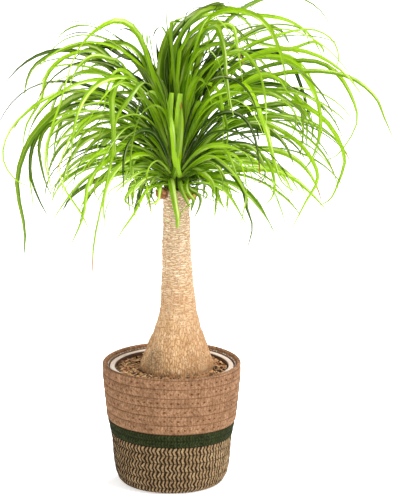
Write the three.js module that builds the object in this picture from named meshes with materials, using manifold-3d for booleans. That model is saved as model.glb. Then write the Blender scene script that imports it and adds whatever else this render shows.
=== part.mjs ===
// A ponytail palm in its nursery pot, standing in a sewn basket of flat braid.
// Millimetres, +Z up. The origin is the middle of the basket's base, on the floor.
// The plant is seen from the front when looking along +Y, with +X to the right.
import * as THREE from 'three';
import { mergeVertices } from 'three/addons/utils/BufferGeometryUtils.js';
import Module from 'manifold-3d';

const wasm = await Module();
wasm.setup();

// Clearance kept between pieces that touch
const GAP = 0.3;
// Sides round every coaxial piece of the pot
const SIDES = 28;

// Basket
const RIM_RADIUS = 90;
const BASKET_HEIGHT = 160;
const BASE_RADIUS = 60;
const BRAID_THICKNESS = 6;
const ROW_PITCH = 11.7;
const GROOVE_DEPTH = 1.3;
const GREEN_TOP = 84;
const GREEN_BOTTOM = 66;
// The flat floor inside the basket, and the corner where its wall starts
const FLOOR_RADIUS = 54;
const CORNER_RADIUS = 61;
const CORNER_HEIGHT = 9;

// Film liner sewn inside the basket
const LINER_TOP = 157;
const LINER_THICKNESS = 0.8;

// Nursery pot
const POT_TOP = 155;
const POT_RIM_OUTER = 80.5;
const POT_RIM_INNER = 73.5;
const POT_RIM_HEIGHT = 5;
const POT_WALL = 1.6;
const POT_FOOT_RADIUS = 52;
const POT_FLOOR = BRAID_THICKNESS + GAP + LINER_THICKNESS + GAP;

// Soil and trunk
const SOIL_TOP = 150;
const ROOT_BOTTOM = 108;
const TRUNK_TOP = 388;
const TRUNK_X = 6.7;

// Crown
const HEAD_RING = 12;
const HEAD_RADIUS = 5;
const HEAD_TOP_RADIUS = 4.2;
const HEAD_COLLAR = 8;
const HEAD_TOP = 446;
const HEAD_SIDES = 6;
const ROOT_LOW = 396;
const ROOT_HIGH = 440;
const ROOT_OUT = 2.6;
const KEEL = 1.0;
const TIP = 0.08;
const BLUNT_TIP = 0.6;

// Cut shoots
const CUT_RING = 18;
const CUT_FOOT = 377;
const CUT_TILT = 20;
const CUT_BASES = 3;
const CUT_BASE_LENGTH = 8.5;
const CUT_BASE_WIDTH = 5.5;
const CUT_SPREAD = 65;

// Where the named leaves were looked at from
const EYE = new THREE.Vector3(37, -3200, 1017);

const DEG = Math.PI / 180;

// Plain repeatable draws in 0..1
function draws(seed) {
  let state = seed;
  return () => {
    state = (state * 1664525 + 1013904223) % 4294967296;
    return state / 4294967296;
  };
}

function between(low, high, share) {
  return low + (high - low) * share;
}

// Value at x on a line through [x, value] points, held past its ends
function along(points, x) {
  if (x <= points[0][0]) return points[0][1];
  for (let i = 1; i < points.length; i += 1) {
    const [x0, v0] = points[i - 1];
    const [x1, v1] = points[i];
    if (x <= x1) return between(v0, v1, (x - x0) / (x1 - x0));
  }
  return points[points.length - 1][1];
}

// Smooth curve through points, as count + 1 points evenly spread between them
function spline(points, count) {
  const curve = new THREE.CatmullRomCurve3(points, false, 'catmullrom', 0.5);
  return curve.getPoints(count);
}

function welded(geometry) {
  const plain = geometry.index ? geometry : geometry.clone();
  plain.deleteAttribute('normal');
  plain.deleteAttribute('uv');
  return mergeVertices(plain, 1e-4);
}

function solidOf(geometry) {
  const plain = welded(geometry);
  const corners = [];
  const index = plain.index.array;
  for (let i = 0; i < index.length; i += 3) {
    const [a, b, c] = [index[i], index[i + 1], index[i + 2]];
    if (a !== b && b !== c && c !== a) corners.push(a, b, c);
  }
  const mesh = new wasm.Mesh({
    numProp: 3,
    vertProperties: new Float32Array(plain.attributes.position.array),
    triVerts: new Uint32Array(corners),
  });
  return new wasm.Manifold(mesh);
}

function geometryOf(solid) {
  const mesh = solid.getMesh();
  const geometry = new THREE.BufferGeometry();
  geometry.setAttribute('position', new THREE.BufferAttribute(mesh.vertProperties, 3));
  geometry.setIndex(new THREE.BufferAttribute(mesh.triVerts, 1));
  return geometry;
}

// The largest connected body, without loose scraps or sealed hollows
function mainBody(solid) {
  const bodies = solid.decompose();
  return bodies.reduce((best, body) => (body.volume() > best.volume() ? body : best));
}

function turned(profile, sides = SIDES) {
  return new THREE.LatheGeometry(profile.map(([r, z]) => new THREE.Vector2(r, z)), sides)
    .rotateX(Math.PI / 2);
}

const plant = new THREE.Group();

function add(name, geometry, color, roughness, metalness = 0) {
  const material = new THREE.MeshStandardMaterial({ color, roughness, metalness });
  const mesh = new THREE.Mesh(geometry, material);
  mesh.name = name;
  plant.add(mesh);
  return mesh;
}

// Basket outline, as [height, radius]: round bottom corner, slight waist, upright rim
const OUTLINE = [
  [0, BASE_RADIUS], [2, 65.5], [6, 69.5], [14, 73], [24, 75], [34, 76.2], [60, 78.2],
  [80, 82], [90, 84.5], [124, 88], [140, 89.4], [156, RIM_RADIUS],
];

function outerRadius(z) {
  return along(OUTLINE, z);
}

// Inside of the basket, as [height, radius], kept plain so that the liner lies on it
const INSIDE = [[18, 67.2], [34, 70.2], [62, 72.5], [90, 78.5], [154, 84]];

function innerRadius(z) {
  return along(INSIDE, z);
}

// Outside of one run of braid rows from z0 up to z1: each row bulges between two grooves
function rowsOutside(z0, z1) {
  const rows = Math.round((z1 - z0) / ROW_PITCH);
  const points = [];
  for (let i = 0; i <= rows; i += 1) {
    const z = between(z0, z1, i / rows);
    points.push([outerRadius(z) - GROOVE_DEPTH, z]);
    if (i < rows) {
      const middle = between(z0, z1, (i + 0.5) / rows);
      points.push([outerRadius(middle), middle]);
    }
  }
  return points;
}

function basketTan() {
  const low = GREEN_TOP + GAP / 2;
  const outside = rowsOutside(low, BASKET_HEIGHT - 3);
  const rim = [
    [RIM_RADIUS - 0.6, BASKET_HEIGHT - 1.2], [RIM_RADIUS - 3, BASKET_HEIGHT],
    [RIM_RADIUS - 5.6, BASKET_HEIGHT - 1],
  ];
  const inside = [[innerRadius(154), 154], [innerRadius(90), 90], [innerRadius(low), low]];
  const profile = [...outside, ...rim, ...inside, outside[0]];
  add('basket_tan_braid', turned(profile), 0xa67a52, 0.85);
}

function basketGreen() {
  const low = GREEN_BOTTOM + GAP / 2;
  const high = GREEN_TOP - GAP / 2;
  const outside = rowsOutside(low, high);
  const profile = [...outside, [innerRadius(high), high], [innerRadius(low), low], outside[0]];
  add('basket_green_braid', turned(profile), 0x2f3a20, 0.85);
}

function basketPatterned() {
  const high = GREEN_BOTTOM - GAP / 2;
  const corner = [[0, 0], [BASE_RADIUS, 0], [66.5, 2.5], [68.6, 6]];
  const wall = rowsOutside(9.5, high);
  const inside = [
    [innerRadius(high), high], [innerRadius(34), 34], [innerRadius(18), 18],
    [CORNER_RADIUS, CORNER_HEIGHT], [FLOOR_RADIUS, BRAID_THICKNESS], [0, BRAID_THICKNESS],
  ];
  add('basket_patterned_braid', turned([...corner, ...wall, ...inside]), 0x7b674a, 0.85);
}

// Thin film cup that follows the basket's inside
function liner() {
  const out = GAP;
  const film = GAP + LINER_THICKNESS;
  const floor = BRAID_THICKNESS + GAP;
  const heights = [34, 62, 90, LINER_TOP];
  const outside = heights.map((z) => [innerRadius(z) - out, z]);
  const inside = heights.map((z) => [innerRadius(z) - film, z]).reverse();
  const profile = [
    [0, floor], [FLOOR_RADIUS, floor], [CORNER_RADIUS - out, CORNER_HEIGHT + out],
    [innerRadius(18) - out, 18 + out], ...outside, ...inside,
    [innerRadius(18) - film, 18 + film], [CORNER_RADIUS - film, CORNER_HEIGHT + film],
    [FLOOR_RADIUS - film, floor + LINER_THICKNESS], [0, floor + LINER_THICKNESS],
  ];
  add('film_liner', turned(profile), 0xb8b4aa, 0.4);
}

// Nursery pot: slim tapered wall with a wide rolled rim
function potRadius(z) {
  return along([[POT_FLOOR, POT_FOOT_RADIUS], [POT_TOP - POT_RIM_HEIGHT, POT_RIM_OUTER - 3]], z);
}

function growPot() {
  const under = POT_TOP - POT_RIM_HEIGHT;
  const profile = [
    [0, POT_FLOOR], [POT_FOOT_RADIUS, POT_FLOOR], [potRadius(60), 60], [potRadius(under), under],
    [POT_RIM_OUTER, under], [POT_RIM_OUTER, POT_TOP - POT_WALL], [POT_RIM_OUTER - 2, POT_TOP],
    [POT_RIM_INNER + 2, POT_TOP], [POT_RIM_INNER, POT_TOP - POT_WALL], [POT_RIM_INNER, under],
    [potRadius(60) - POT_WALL, 60], [POT_FOOT_RADIUS - POT_WALL, POT_FLOOR + POT_WALL],
    [0, POT_FLOOR + POT_WALL],
  ];
  add('nursery_pot', turned(profile), 0xcfcac2, 0.45);
}

// Trunk outline, as [height, radius]: buried root ball, swollen base, slim neck
const TRUNK = [
  [ROOT_BOTTOM, 28], [116, 34], [126, 38.5], [138, 42], [146, 45], [151, 47.2], [156, 47.6],
  [162, 45.9], [170, 42.8], [183, 38.2], [193, 33.8], [203, 29.8], [214, 26.6], [225, 24.3],
  [240, 22.4], [255, 21.2], [275, 20], [295, 19], [315, 18.2], [334, 17.7], [360, 17.2],
  [TRUNK_TOP, 17],
];
const TRUNK_SIDES = 20;
const TRUNK_STEP = 8;
const BARK_RELIEF = 0.5;
const BARK_FISSURES = 9;
// Highest value of the bark's waves, in units of BARK_RELIEF
const DEEPEST = 2.4;

// The trunk leans a little to the right over its swollen base and back again
function trunkShift(z) {
  return TRUNK_X + along([[140, -1.2], [180, 1.2], [215, 2.2], [260, 1.2], [330, 0]], z);
}

// Ring scars on the neck give way to upright fissures on the swollen base
function barkRelief(angle, z) {
  const swollen = along([[205, 1], [250, 0.25]], z);
  const fissure = Math.cos(BARK_FISSURES * angle + 0.05 * z) + 0.5 * Math.cos(5 * angle - 0.11 * z);
  const ring = Math.cos(Math.PI * z / TRUNK_STEP);
  return BARK_RELIEF * (1.6 * swollen * fissure + (1 - swollen) * ring);
}

function trunkGeometry(grown, relief) {
  const profile = [[0, ROOT_BOTTOM - grown], [TRUNK[0][1] + grown, ROOT_BOTTOM - grown]];
  for (let z = ROOT_BOTTOM + TRUNK_STEP; z < TRUNK_TOP - 2; z += TRUNK_STEP) {
    profile.push([along(TRUNK, z) + grown, z]);
  }
  profile.push([along(TRUNK, TRUNK_TOP) - 1 + grown, TRUNK_TOP + grown], [0, TRUNK_TOP + grown]);
  const geometry = welded(turned(profile, TRUNK_SIDES));
  const position = geometry.attributes.position;
  for (let i = 0; i < position.count; i += 1) {
    const [x, y, z] = [position.getX(i), position.getY(i), position.getZ(i)];
    const radius = Math.hypot(x, y);
    const onSide = z > ROOT_BOTTOM + 1 && z < TRUNK_TOP - 1;
    const swell = relief && onSide ? 1 + barkRelief(Math.atan2(y, x), z) / radius : 1;
    position.setXY(i, x * swell + trunkShift(z), y * swell);
  }
  return geometry;
}

function trunk() {
  add('trunk', trunkGeometry(0, true), 0xc9a377, 0.9);
}

// Soil: fills the pot, with a lumpy top and a plain hole for the trunk's root ball
function soil() {
  const edge = POT_RIM_INNER - GAP;
  const profile = [
    [0, POT_FLOOR + POT_WALL + GAP], [POT_FOOT_RADIUS - POT_WALL - 1, POT_FLOOR + POT_WALL + GAP],
    [potRadius(60) - POT_WALL - GAP - 0.2, 60], [edge - 1.2, SOIL_TOP - 2], [edge - 8, SOIL_TOP],
    [edge - 16, SOIL_TOP], [40, SOIL_TOP], [0, SOIL_TOP],
  ];
  const geometry = welded(turned(profile));
  const position = geometry.attributes.position;
  for (let i = 0; i < position.count; i += 1) {
    const [x, y, z] = [position.getX(i), position.getY(i), position.getZ(i)];
    if (z > SOIL_TOP - 1) {
      position.setZ(i, z + 1.6 * Math.sin(0.21 * x + 1) * Math.cos(0.19 * y) + 0.9 * Math.sin(0.47 * y));
    }
  }
  const hole = solidOf(trunkGeometry(BARK_RELIEF * DEEPEST + GAP, false));
  add('soil', geometryOf(mainBody(solidOf(geometry).subtract(hole))), 0x7d5a38, 1);
}

// A leaf is a long strip: flat on top, with a shallow keel below, tapering to its tip
function blade(path, facing, width, turn, tipShare) {
  const count = path.length - 1;
  const position = [];
  path.forEach((point, i) => {
    const share = i / count;
    const ahead = path[Math.min(i + 1, count)].clone().sub(path[Math.max(i - 1, 0)]).normalize();
    const side = new THREE.Vector3(-Math.sin(facing), Math.cos(facing), 0);
    side.addScaledVector(ahead, -side.dot(ahead)).normalize();
    side.applyAxisAngle(ahead, turn * share * share);
    const below = side.clone().cross(ahead);
    const half = 0.5 * bladeWidth(width, share, tipShare);
    const left = point.clone().addScaledVector(side, -half);
    const right = point.clone().addScaledVector(side, half);
    const keel = point.clone().addScaledVector(below, KEEL * (1 - 0.5 * share));
    position.push(...left.toArray(), ...right.toArray(), ...keel.toArray());
  });
  return solidOf(strip(position, count));
}

function bladeWidth(width, share, tipShare) {
  const base = 0.24 + 0.76 * Math.min(1, Math.max(0, share - 0.06) * 5);
  const taper = 1 - (1 - tipShare) * Math.pow(share, 2.4);
  return width * base * taper;
}

// Closes a run of three-cornered sections; each top and side quad is split so that it bulges out
function strip(position, count) {
  const at = (i) => new THREE.Vector3().fromArray(position, 3 * i);
  const index = [0, 2, 1];
  for (let i = 0; i < count; i += 1) {
    for (let k = 0; k < 3; k += 1) {
      const a = 3 * i + k;
      const b = 3 * i + (k + 1) % 3;
      const c = b + 3;
      const d = a + 3;
      const inside = at(3 * i + (k + 2) % 3).add(at(3 * i + 3 + (k + 2) % 3)).multiplyScalar(0.5);
      const acrossAC = at(a).add(at(c)).multiplyScalar(0.5).distanceTo(inside);
      const acrossBD = at(b).add(at(d)).multiplyScalar(0.5).distanceTo(inside);
      if (acrossAC > acrossBD) index.push(a, b, c, a, c, d);
      else index.push(a, b, d, b, c, d);
    }
  }
  const last = 3 * count;
  index.push(last, last + 1, last + 2);
  const geometry = new THREE.BufferGeometry();
  geometry.setAttribute('position', new THREE.Float32BufferAttribute(position, 3));
  geometry.setIndex(index);
  return outward(geometry);
}

// Turns the faces round when they point in
function outward(geometry) {
  const index = geometry.index.array;
  const position = geometry.attributes.position;
  const corner = (i) => new THREE.Vector3().fromBufferAttribute(position, index[i]);
  let volume = 0;
  for (let i = 0; i < index.length; i += 3) {
    volume += corner(i).dot(corner(i + 1).cross(corner(i + 2)));
  }
  if (volume < 0) {
    for (let i = 0; i < index.length; i += 3) {
      [index[i], index[i + 1]] = [index[i + 1], index[i]];
    }
  }
  return geometry;
}

// Heads round the trunk's top, each with the direction it faces in degrees and its own leaves.
// A named leaf is [facing, width, turn, points]. Its points are [across, height] as seen from EYE
// on the plane through the trunk's axis, and a third number is the depth where the leaf leaves
// the upright plane that it arches in.
const HEADS = [
  {
    name: 'leaf_head_right',
    facing: 0,
    spread: [-27, 27],
    vigour: 0.8,
    fillers: 26,
    leaves: [
      [-8, 6, 60, [[60, 500], [120, 532], [180, 540], [226, 532], [258, 508], [271, 480], [285, 448]]],
      [8, 6, 70, [[70, 520], [125, 547], [176, 553], [208, 539], [230, 505], [236, 472],
        [215, 435], [196, 424]]],
      [-15, 6, -70, [[70, 475], [125, 498], [165, 497], [200, 472], [221, 430], [213, 395],
        [203, 374], [186, 365]]],
      [-22, 6, 80, [[60, 465], [105, 478], [153, 455], [178, 428], [187, 400], [171, 369], [150, 326]]],
      [-18, 6.5, -60, [[80, 540], [125, 556], [160, 543], [180, 515], [190, 480], [183, 435],
        [165, 406]]],
      [15, 4, 40, [[50, 540], [100, 573], [136, 586], [175, 593], [203, 580], [212, 553], [197, 520]]],
      [22, 5, 60, [[60, 550], [110, 566], [150, 568], [180, 577], [192, 568], [194, 555]]],
      [-24, 5, 50, [[56, 432], [75, 441], [95, 445], [112, 432], [120, 408], [105, 397]]],
    ],
  },
  {
    name: 'leaf_head_back_right',
    facing: 60,
    spread: [33, 87],
    vigour: 0.86,
    fillers: 26,
    leaves: [
      [50, 7, 50, [[5, 560], [35, 612], [77, 619], [112, 605], [140, 580], [155, 550]]],
      [62, 7, -60, [[0, 590], [14, 603], [50, 622], [72, 618], [98, 600], [113, 570]]],
      [45, 6, 60, [[40, 540], [75, 566], [100, 560], [112, 540], [119, 505], [121, 480]]],
      [38, 6, -60, [[40, 590], [80, 610], [118, 610], [150, 603], [177, 584], [194, 553]]],
    ],
  },
  {
    name: 'leaf_head_back_left',
    facing: 120,
    spread: [93, 147],
    vigour: 0.73,
    fillers: 25,
    leaves: [
      [136, 4, 50, [[-20, 540], [-50, 570], [-82, 590], [-112, 598], [-137, 588], [-151, 564]]],
      [142, 5, -50, [[-20, 530], [-45, 568], [-70, 577], [-95, 570], [-113, 540], [-117, 508],
        [-110, 470]]],
    ],
  },
  {
    name: 'leaf_head_left',
    facing: 180,
    spread: [153, 207],
    vigour: 0.72,
    fillers: 27,
    leaves: [
      [165, 6, -70, [[-40, 515], [-72, 552], [-100, 573], [-138, 567], [-172, 547], [-185, 517],
        [-182, 490]]],
      [173, 6, 60, [[-50, 525], [-92, 563], [-131, 559], [-157, 535], [-165, 503], [-184, 470],
        [-190, 432]]],
      [187, 9, 80, [[-40, 485], [-80, 508], [-118, 508], [-155, 480], [-183, 445], [-197, 395],
        [-188, 335], [-190, 295]]],
      [180, 6, -70, [[-50, 480], [-105, 499], [-148, 484], [-174, 450], [-180, 410], [-170, 376],
        [-157, 350]]],
      [197, 4.5, 50, [[-50, 490], [-95, 512], [-140, 513], [-182, 488], [-208, 458], [-214, 425],
        [-197, 398], [-170, 388]]],
    ],
  },
  {
    name: 'leaf_head_front_left',
    facing: 240,
    spread: [213, 248],
    vigour: 0.72,
    fillers: 17,
    leaves: [
      [217, 8, 70, [[-23, 531], [-40, 585], [-66, 604], [-98, 589], [-122, 558], [-140, 500],
        [-161, 432], [-150, 377]]],
      [232, 8, -60, [[-22, 480], [-42, 520], [-61, 532], [-75, 505], [-73, 445], [-84, 390],
        [-99, 320], [-102, 272]]],
      [224, 7, 60, [[-40, 520], [-66, 541], [-80, 520], [-86, 485], [-94, 440], [-97, 385]]],
      [243, 6, -50, [[-12, 500], [-33, 526], [-52, 506], [-68, 482], [-72, 455], [-70, 425]]],
      [254, 5, 50, [[-5, 478], [-20, 496], [-38, 485], [-48, 455], [-52, 420], [-50, 384]]],
      [228, 7, -60, [[-30, 458], [-55, 449], [-80, 428], [-105, 397], [-113, 352], [-131, 310]]],
      [219, 6, 70, [[-50, 478], [-89, 484], [-118, 469], [-141, 425], [-138, 392], [-115, 355],
        [-104, 330]]],
      [231, 5, -40, [[-14, 402], [-24, 405], [-37, 399], [-47, 388], [-47, 370]]],
      [246, 5, 50, [[-10, 404], [-20, 404], [-34, 396], [-43, 384], [-42, 368], [-27, 347]]],
      [262, 8, 0, [[-1, 402, -20], [1, 392, -27], [5, 367, -29], [8, 350, -27], [8, 337, -26]]],
      [262, 8, 0, [[0, 440, -13], [-2, 480, -15], [1, 512, -20]]],
    ],
  },
  {
    name: 'leaf_head_front_right',
    facing: 300,
    spread: [292, 327],
    vigour: 0.85,
    fillers: 18,
    leaves: [
      [311, 8, 60, [[30, 428], [45, 435], [60, 424], [77, 409], [92, 388], [97, 362], [104, 338],
        [97, 308]]],
      [304, 5, -50, [[40, 430], [66, 438], [86, 427], [95, 398], [96, 376], [91, 352], [85, 328]]],
      [299, 8, 50, [[20, 530], [40, 585], [57, 597], [67, 568], [70, 535], [74, 505], [80, 480]]],
      [290, 6, -50, [[16, 520], [32, 562], [46, 568], [60, 552], [70, 520], [74, 490]]],
      [314, 5, 50, [[30, 560], [58, 595], [78, 597], [84, 570], [88, 545], [91, 525]]],
      [321, 8, -60, [[10, 560], [50, 608], [85, 617], [117, 603], [137, 568], [145, 530], [147, 490]]],
      [323, 7, 60, [[50, 505], [85, 521], [100, 514], [121, 464], [131, 425], [142, 396], [161, 383]]],
      [319, 5, 40, [[35, 394], [50, 399], [65, 395], [80, 386], [90, 381]]],
      [278, 6, 0, [[11, 399, -21], [13, 388, -27], [18, 376, -31], [24, 364, -32]]],
      [276, 9, 0, [[9, 450, -14], [10, 485, -17], [12, 511, -20]]],
    ],
  },
];
// Parts that a leaf is drawn with
const NAMED_STEPS = 8;
const FILLER_STEPS = 5;
const FINE_STEPS = 20;
// How far above ROOT_LOW a named leaf starts when it leaves its head at the very top
const ROOT_REACH = 130;
const GOLDEN = 0.618034;
const DRIFT = 16;

// Moves a seen point along its line of sight to depth y
function sighted(across, height, y) {
  const share = y / -EYE.y;
  return new THREE.Vector3(
    across + (across - EYE.x) * share,
    y,
    height + (height - EYE.z) * share,
  );
}

function headFoot(head) {
  const facing = head.facing * DEG;
  return new THREE.Vector3(
    TRUNK_X + HEAD_RING * Math.cos(facing),
    HEAD_RING * Math.sin(facing),
    TRUNK_TOP + GAP,
  );
}

// Where a leaf leaves its head: on the side that it faces, low for share 0 and high for share 1
function rootPoint(foot, facing, share) {
  const height = between(ROOT_LOW, ROOT_HIGH, Math.min(1, Math.max(0, share)));
  return new THREE.Vector3(
    foot.x + ROOT_OUT * Math.cos(facing),
    foot.y + ROOT_OUT * Math.sin(facing),
    height,
  );
}

function namedLeaf(head, [facing, width, turn, points]) {
  const foot = headFoot(head);
  const slope = Math.tan(facing * DEG);
  const path = points.map(([across, height, depth]) => {
    const y = depth ?? foot.y + slope * (across - foot.x);
    return sighted(across, height, y);
  });
  path.unshift(rootPoint(foot, facing * DEG, (path[0].z - ROOT_LOW) / ROOT_REACH));
  const tip = turn === 0 ? BLUNT_TIP : TIP;
  return blade(spline(path, NAMED_STEPS), facing * DEG, width, turn * DEG, tip);
}

// Leaves between the named ones: they start steep near the head's top and lower further down,
// and bend over under their weight
function fillerLeaf(head, number, draw) {
  const foot = headFoot(head);
  const order = number / (head.fillers - 1);
  const facing = between(...head.spread, (number * GOLDEN) % 1) * DEG;
  const rise = between(84, 18, order) + 12 * (draw() - 0.5);
  const length = head.vigour * between(430, 250, order) * between(0.72, 1.08, draw());
  const fall = between(165, 95, order) * between(0.8, 1.1, draw());
  const width = between(4.5, 8, draw());
  const turn = between(-70, 70, draw());
  const drift = DRIFT * between(-1, 1, draw()) * DEG;
  const step = length / FINE_STEPS;
  const path = [rootPoint(foot, facing, 1 - order)];
  for (let i = 0; i < FINE_STEPS; i += 1) {
    const share = (i + 0.5) / FINE_STEPS;
    const lift = (rise - fall * Math.pow(share, 1.35)) * DEG;
    const heading = facing + drift * share;
    const last = path[path.length - 1];
    path.push(new THREE.Vector3(
      last.x + step * Math.cos(lift) * Math.cos(heading),
      last.y + step * Math.cos(lift) * Math.sin(heading),
      last.z + step * Math.sin(lift),
    ));
  }
  const kept = path.filter((point, i) => i % (FINE_STEPS / FILLER_STEPS) === 0);
  return blade(kept, facing, width, turn * DEG, TIP);
}

// The head itself: a slim bud that its leaves stand out of
function headCore(head) {
  const foot = headFoot(head);
  const height = HEAD_TOP - foot.z;
  const profile = [
    [0, 0], [HEAD_RADIUS, 0], [HEAD_RADIUS, HEAD_COLLAR], [HEAD_TOP_RADIUS, height], [0, height],
  ];
  return solidOf(turned(profile, HEAD_SIDES).translate(foot.x, foot.y, foot.z));
}

function leafHead(head, number) {
  const draw = draws(1000 + 77 * number);
  const solids = [headCore(head)];
  head.leaves.forEach((leaf) => solids.push(namedLeaf(head, leaf)));
  for (let i = 0; i < head.fillers; i += 1) {
    solids.push(fillerLeaf(head, i, draw));
  }
  const whole = mainBody(wasm.Manifold.union(solids));
  add(head.name, geometryOf(whole), 0x5f9a12, 0.45);
}

// A shoot that was cut off: a dry knob on the trunk's side with short blunt leaf bases on it
function cutShoot(name, facing, color) {
  const heading = facing * DEG;
  const knob = [[0, 0], [4, 1], [6.4, 5], [5.8, 9], [3, 12], [0, 12.4]];
  const [x, y] = [TRUNK_X + CUT_RING * Math.cos(heading), CUT_RING * Math.sin(heading)];
  const shape = turned(knob, 6).rotateY(CUT_TILT * DEG).rotateZ(heading);
  const solids = [solidOf(shape.translate(x, y, CUT_FOOT))];
  for (let i = 0; i < CUT_BASES; i += 1) {
    const way = heading + between(-CUT_SPREAD, CUT_SPREAD, i / (CUT_BASES - 1)) * DEG;
    const root = new THREE.Vector3(x, y, CUT_FOOT + 5);
    const reach = new THREE.Vector3(Math.cos(way), Math.sin(way), 0).multiplyScalar(CUT_BASE_LENGTH);
    reach.z = CUT_BASE_LENGTH - i;
    solids.push(blade([root, root.clone().add(reach)], way, CUT_BASE_WIDTH, 0, BLUNT_TIP));
  }
  const neighbour = solidOf(trunkGeometry(GAP, true));
  add(name, geometryOf(mainBody(wasm.Manifold.union(solids).subtract(neighbour))), color, 0.8);
}

basketTan();
basketGreen();
basketPatterned();
liner();
growPot();
soil();
trunk();
HEADS.forEach(leafHead);
cutShoot('cut_shoot_left', 205, 0xb5763a);
cutShoot('cut_shoot_right', 332, 0x8a6a2c);

export default plant;
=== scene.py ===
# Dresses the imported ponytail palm: a sewn braid basket, its liner, the nursery pot with soil, the
# trunk and the crown of strap leaves. Sizes in the lists are millimetres, as in the part's source.
import math
import random

import bmesh
import bpy
import numpy as np
from bpy.props import FloatProperty, FloatVectorProperty, IntProperty, PointerProperty
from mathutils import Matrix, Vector, noise


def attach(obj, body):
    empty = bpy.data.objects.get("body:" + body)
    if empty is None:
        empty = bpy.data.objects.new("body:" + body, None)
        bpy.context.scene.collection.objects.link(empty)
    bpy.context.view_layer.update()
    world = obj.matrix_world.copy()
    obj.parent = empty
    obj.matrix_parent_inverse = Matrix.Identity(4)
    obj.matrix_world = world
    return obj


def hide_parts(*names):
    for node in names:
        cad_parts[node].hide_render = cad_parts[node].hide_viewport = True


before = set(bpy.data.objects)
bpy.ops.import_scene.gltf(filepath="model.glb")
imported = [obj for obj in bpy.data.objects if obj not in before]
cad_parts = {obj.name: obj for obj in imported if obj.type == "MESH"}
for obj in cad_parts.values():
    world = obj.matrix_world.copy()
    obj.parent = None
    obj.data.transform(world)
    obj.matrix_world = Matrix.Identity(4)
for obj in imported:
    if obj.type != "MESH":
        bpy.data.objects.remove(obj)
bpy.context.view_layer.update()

bl_info = {
    "name": "Potted ponytail palm",
    "version": (1, 0, 0),
    "blender": (4, 5, 0),
    "location": "3D View > Sidebar > Plant",
    "description": "Dresses the packed ponytail palm in its braid basket",
    "category": "Add Mesh",
}

MM = 0.001
DEG = math.pi / 180


def srgb(red, green, blue):
    """Linear colour for the 0 to 255 values of a screen."""
    def linear(value):
        share = value / 255
        return share / 12.92 if share <= 0.04045 else ((share + 0.055) / 1.055) ** 2.4

    return (linear(red), linear(green), linear(blue), 1.0)


# Basket, as in the part's source: [height, radius] outside and inside
OUTLINE = [
    [0, 60], [2, 65.5], [6, 69.5], [14, 73], [24, 75], [34, 76.2], [60, 78.2],
    [80, 82], [90, 84.5], [124, 88], [140, 89.4], [156, 90],
]
INSIDE = [[18, 67.2], [34, 70.2], [62, 72.5], [90, 78.5], [154, 84]]
BASKET_HEIGHT = 160
BASE_THICKNESS = 6
GREEN_BOTTOM = 66
GREEN_TOP = 84
# Each colour of braid has rows of its own height, counted from the height where its rows start
TAN_ROWS = (GREEN_TOP + 0.6, 12.2)
GREEN_ROWS = (GREEN_BOTTOM, 9)
PATTERN_ROWS = (9.5, 11.3)
COIL_RISE = 12
RIM_RADIUS = 90
RIM_ROUND = 3
RIM_START = BASKET_HEIGHT - RIM_ROUND
GROOVE_DEPTH = 1.3
# Steps of the section in a row of braid
ROW_STEPS = 12
# How far the strands slant across a row, in strands, and how high they stand
PLAIN_SLANT = 0.6
PLAIN_RELIEF = 0.35
PATTERN_SLANT = 0.5
PATTERN_RELIEF = 0.6
# Where the coil of braid changes colour, at the back, in degrees
COIL_SEAM = 90.2
# How much higher the upper edges sit at the back, how far back the rise ends, and the soil's share
BACK_RISE = 3
BACK_REACH = 80
SOIL_RISE = 0.6
GAP = 0.3

# Liner and nursery pot
LINER_TOP = 157
LINER_THICKNESS = 0.8
STITCHES = 112
POT_TOP = 155
POT_FLOOR = 7.4
POT_FOOT_RADIUS = 52
POT_RIM_OUTER = 80.5
POT_RIM_INNER = 73.5
POT_RIM_HEIGHT = 5
POT_WALL = 1.6
POT_OUTER_ROUND = 1.6
POT_INNER_ROUND = 1.8

# Soil and trunk, as [height, radius]
SOIL_TOP = 150
SOIL_INNER = 48
CHIP_SEED = 11
STRAW_SEED = 12
ROOT_BOTTOM = 108
TRUNK_TOP = 388
TRUNK_X = 6.7
TRUNK = [
    [ROOT_BOTTOM, 28], [116, 34], [126, 38.5], [138, 42], [146, 45], [151, 47.2], [156, 47.6],
    [162, 45.9], [170, 42.8], [183, 38.2], [193, 33.8], [203, 29.8], [214, 26.6], [225, 24.3],
    [240, 22.4], [255, 21.2], [275, 20], [295, 19], [315, 18.2], [334, 17.7], [360, 17.2],
    [TRUNK_TOP, 17],
]

# Crown
EYE = Vector((37, -3200, 1017))
HEAD_RING = 12
HEAD_TOP = 446
ROOT_LOW = 396
ROOT_HIGH = 440
ROOT_OUT = 2.6
ROOT_REACH = 130
FINE_STEPS = 20
GOLDEN = 0.618034
DRIFT = 16
CUT_RING = 18
CUT_FOOT = 377
CUT_TILT = 20
HUSKS = 16
CROWN_SEED = 21
STUB_SEED = 31
# The two heads at the back, where the crown is densest, and how much lighter or darker each head's
# leaves are set: darker at the back as painted shade in the dense crown, lightest on the right as
# painted light through its outer leaves
BACK_HEADS = ("leaf_head_back_right", "leaf_head_back_left")
HEAD_LIGHT_AND_SHADE = {
    "leaf_head_right": 0.24, "leaf_head_back_right": -0.15, "leaf_head_back_left": -0.15,
    "leaf_head_left": 0.1, "leaf_head_front_left": 0.18, "leaf_head_front_right": 0.18,
}
# The share of the back left head's seeded leaves that are slim, and how slim
SLIM_SHARE = 0.2
SLIM_WIDTH = 0.35
# How light a leaf is, 0 to 1: the middle, the spread, the most for a leaf that isn't set bright,
# and the setting from which it is bright
TONE_MIDDLE = 0.42
TONE_SPREAD = 0.25
TONE_MOST = 0.72
BRIGHT = 0.5
DRY_SHARE = 0.1
# Ends of the blades as shares of their width, and how much wider the upright ones are
POINTED = 0.06
BLUNT = 0.3
BROAD = 0.55
UPRIGHT_WIDTH = 1.25
# How far to each side of its head an added leaf may face, in degrees, and the sideways share
# under which one that faces the front is left out
EXTRA_SPREAD = 32
FRONT_GAP = 0.34

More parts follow.
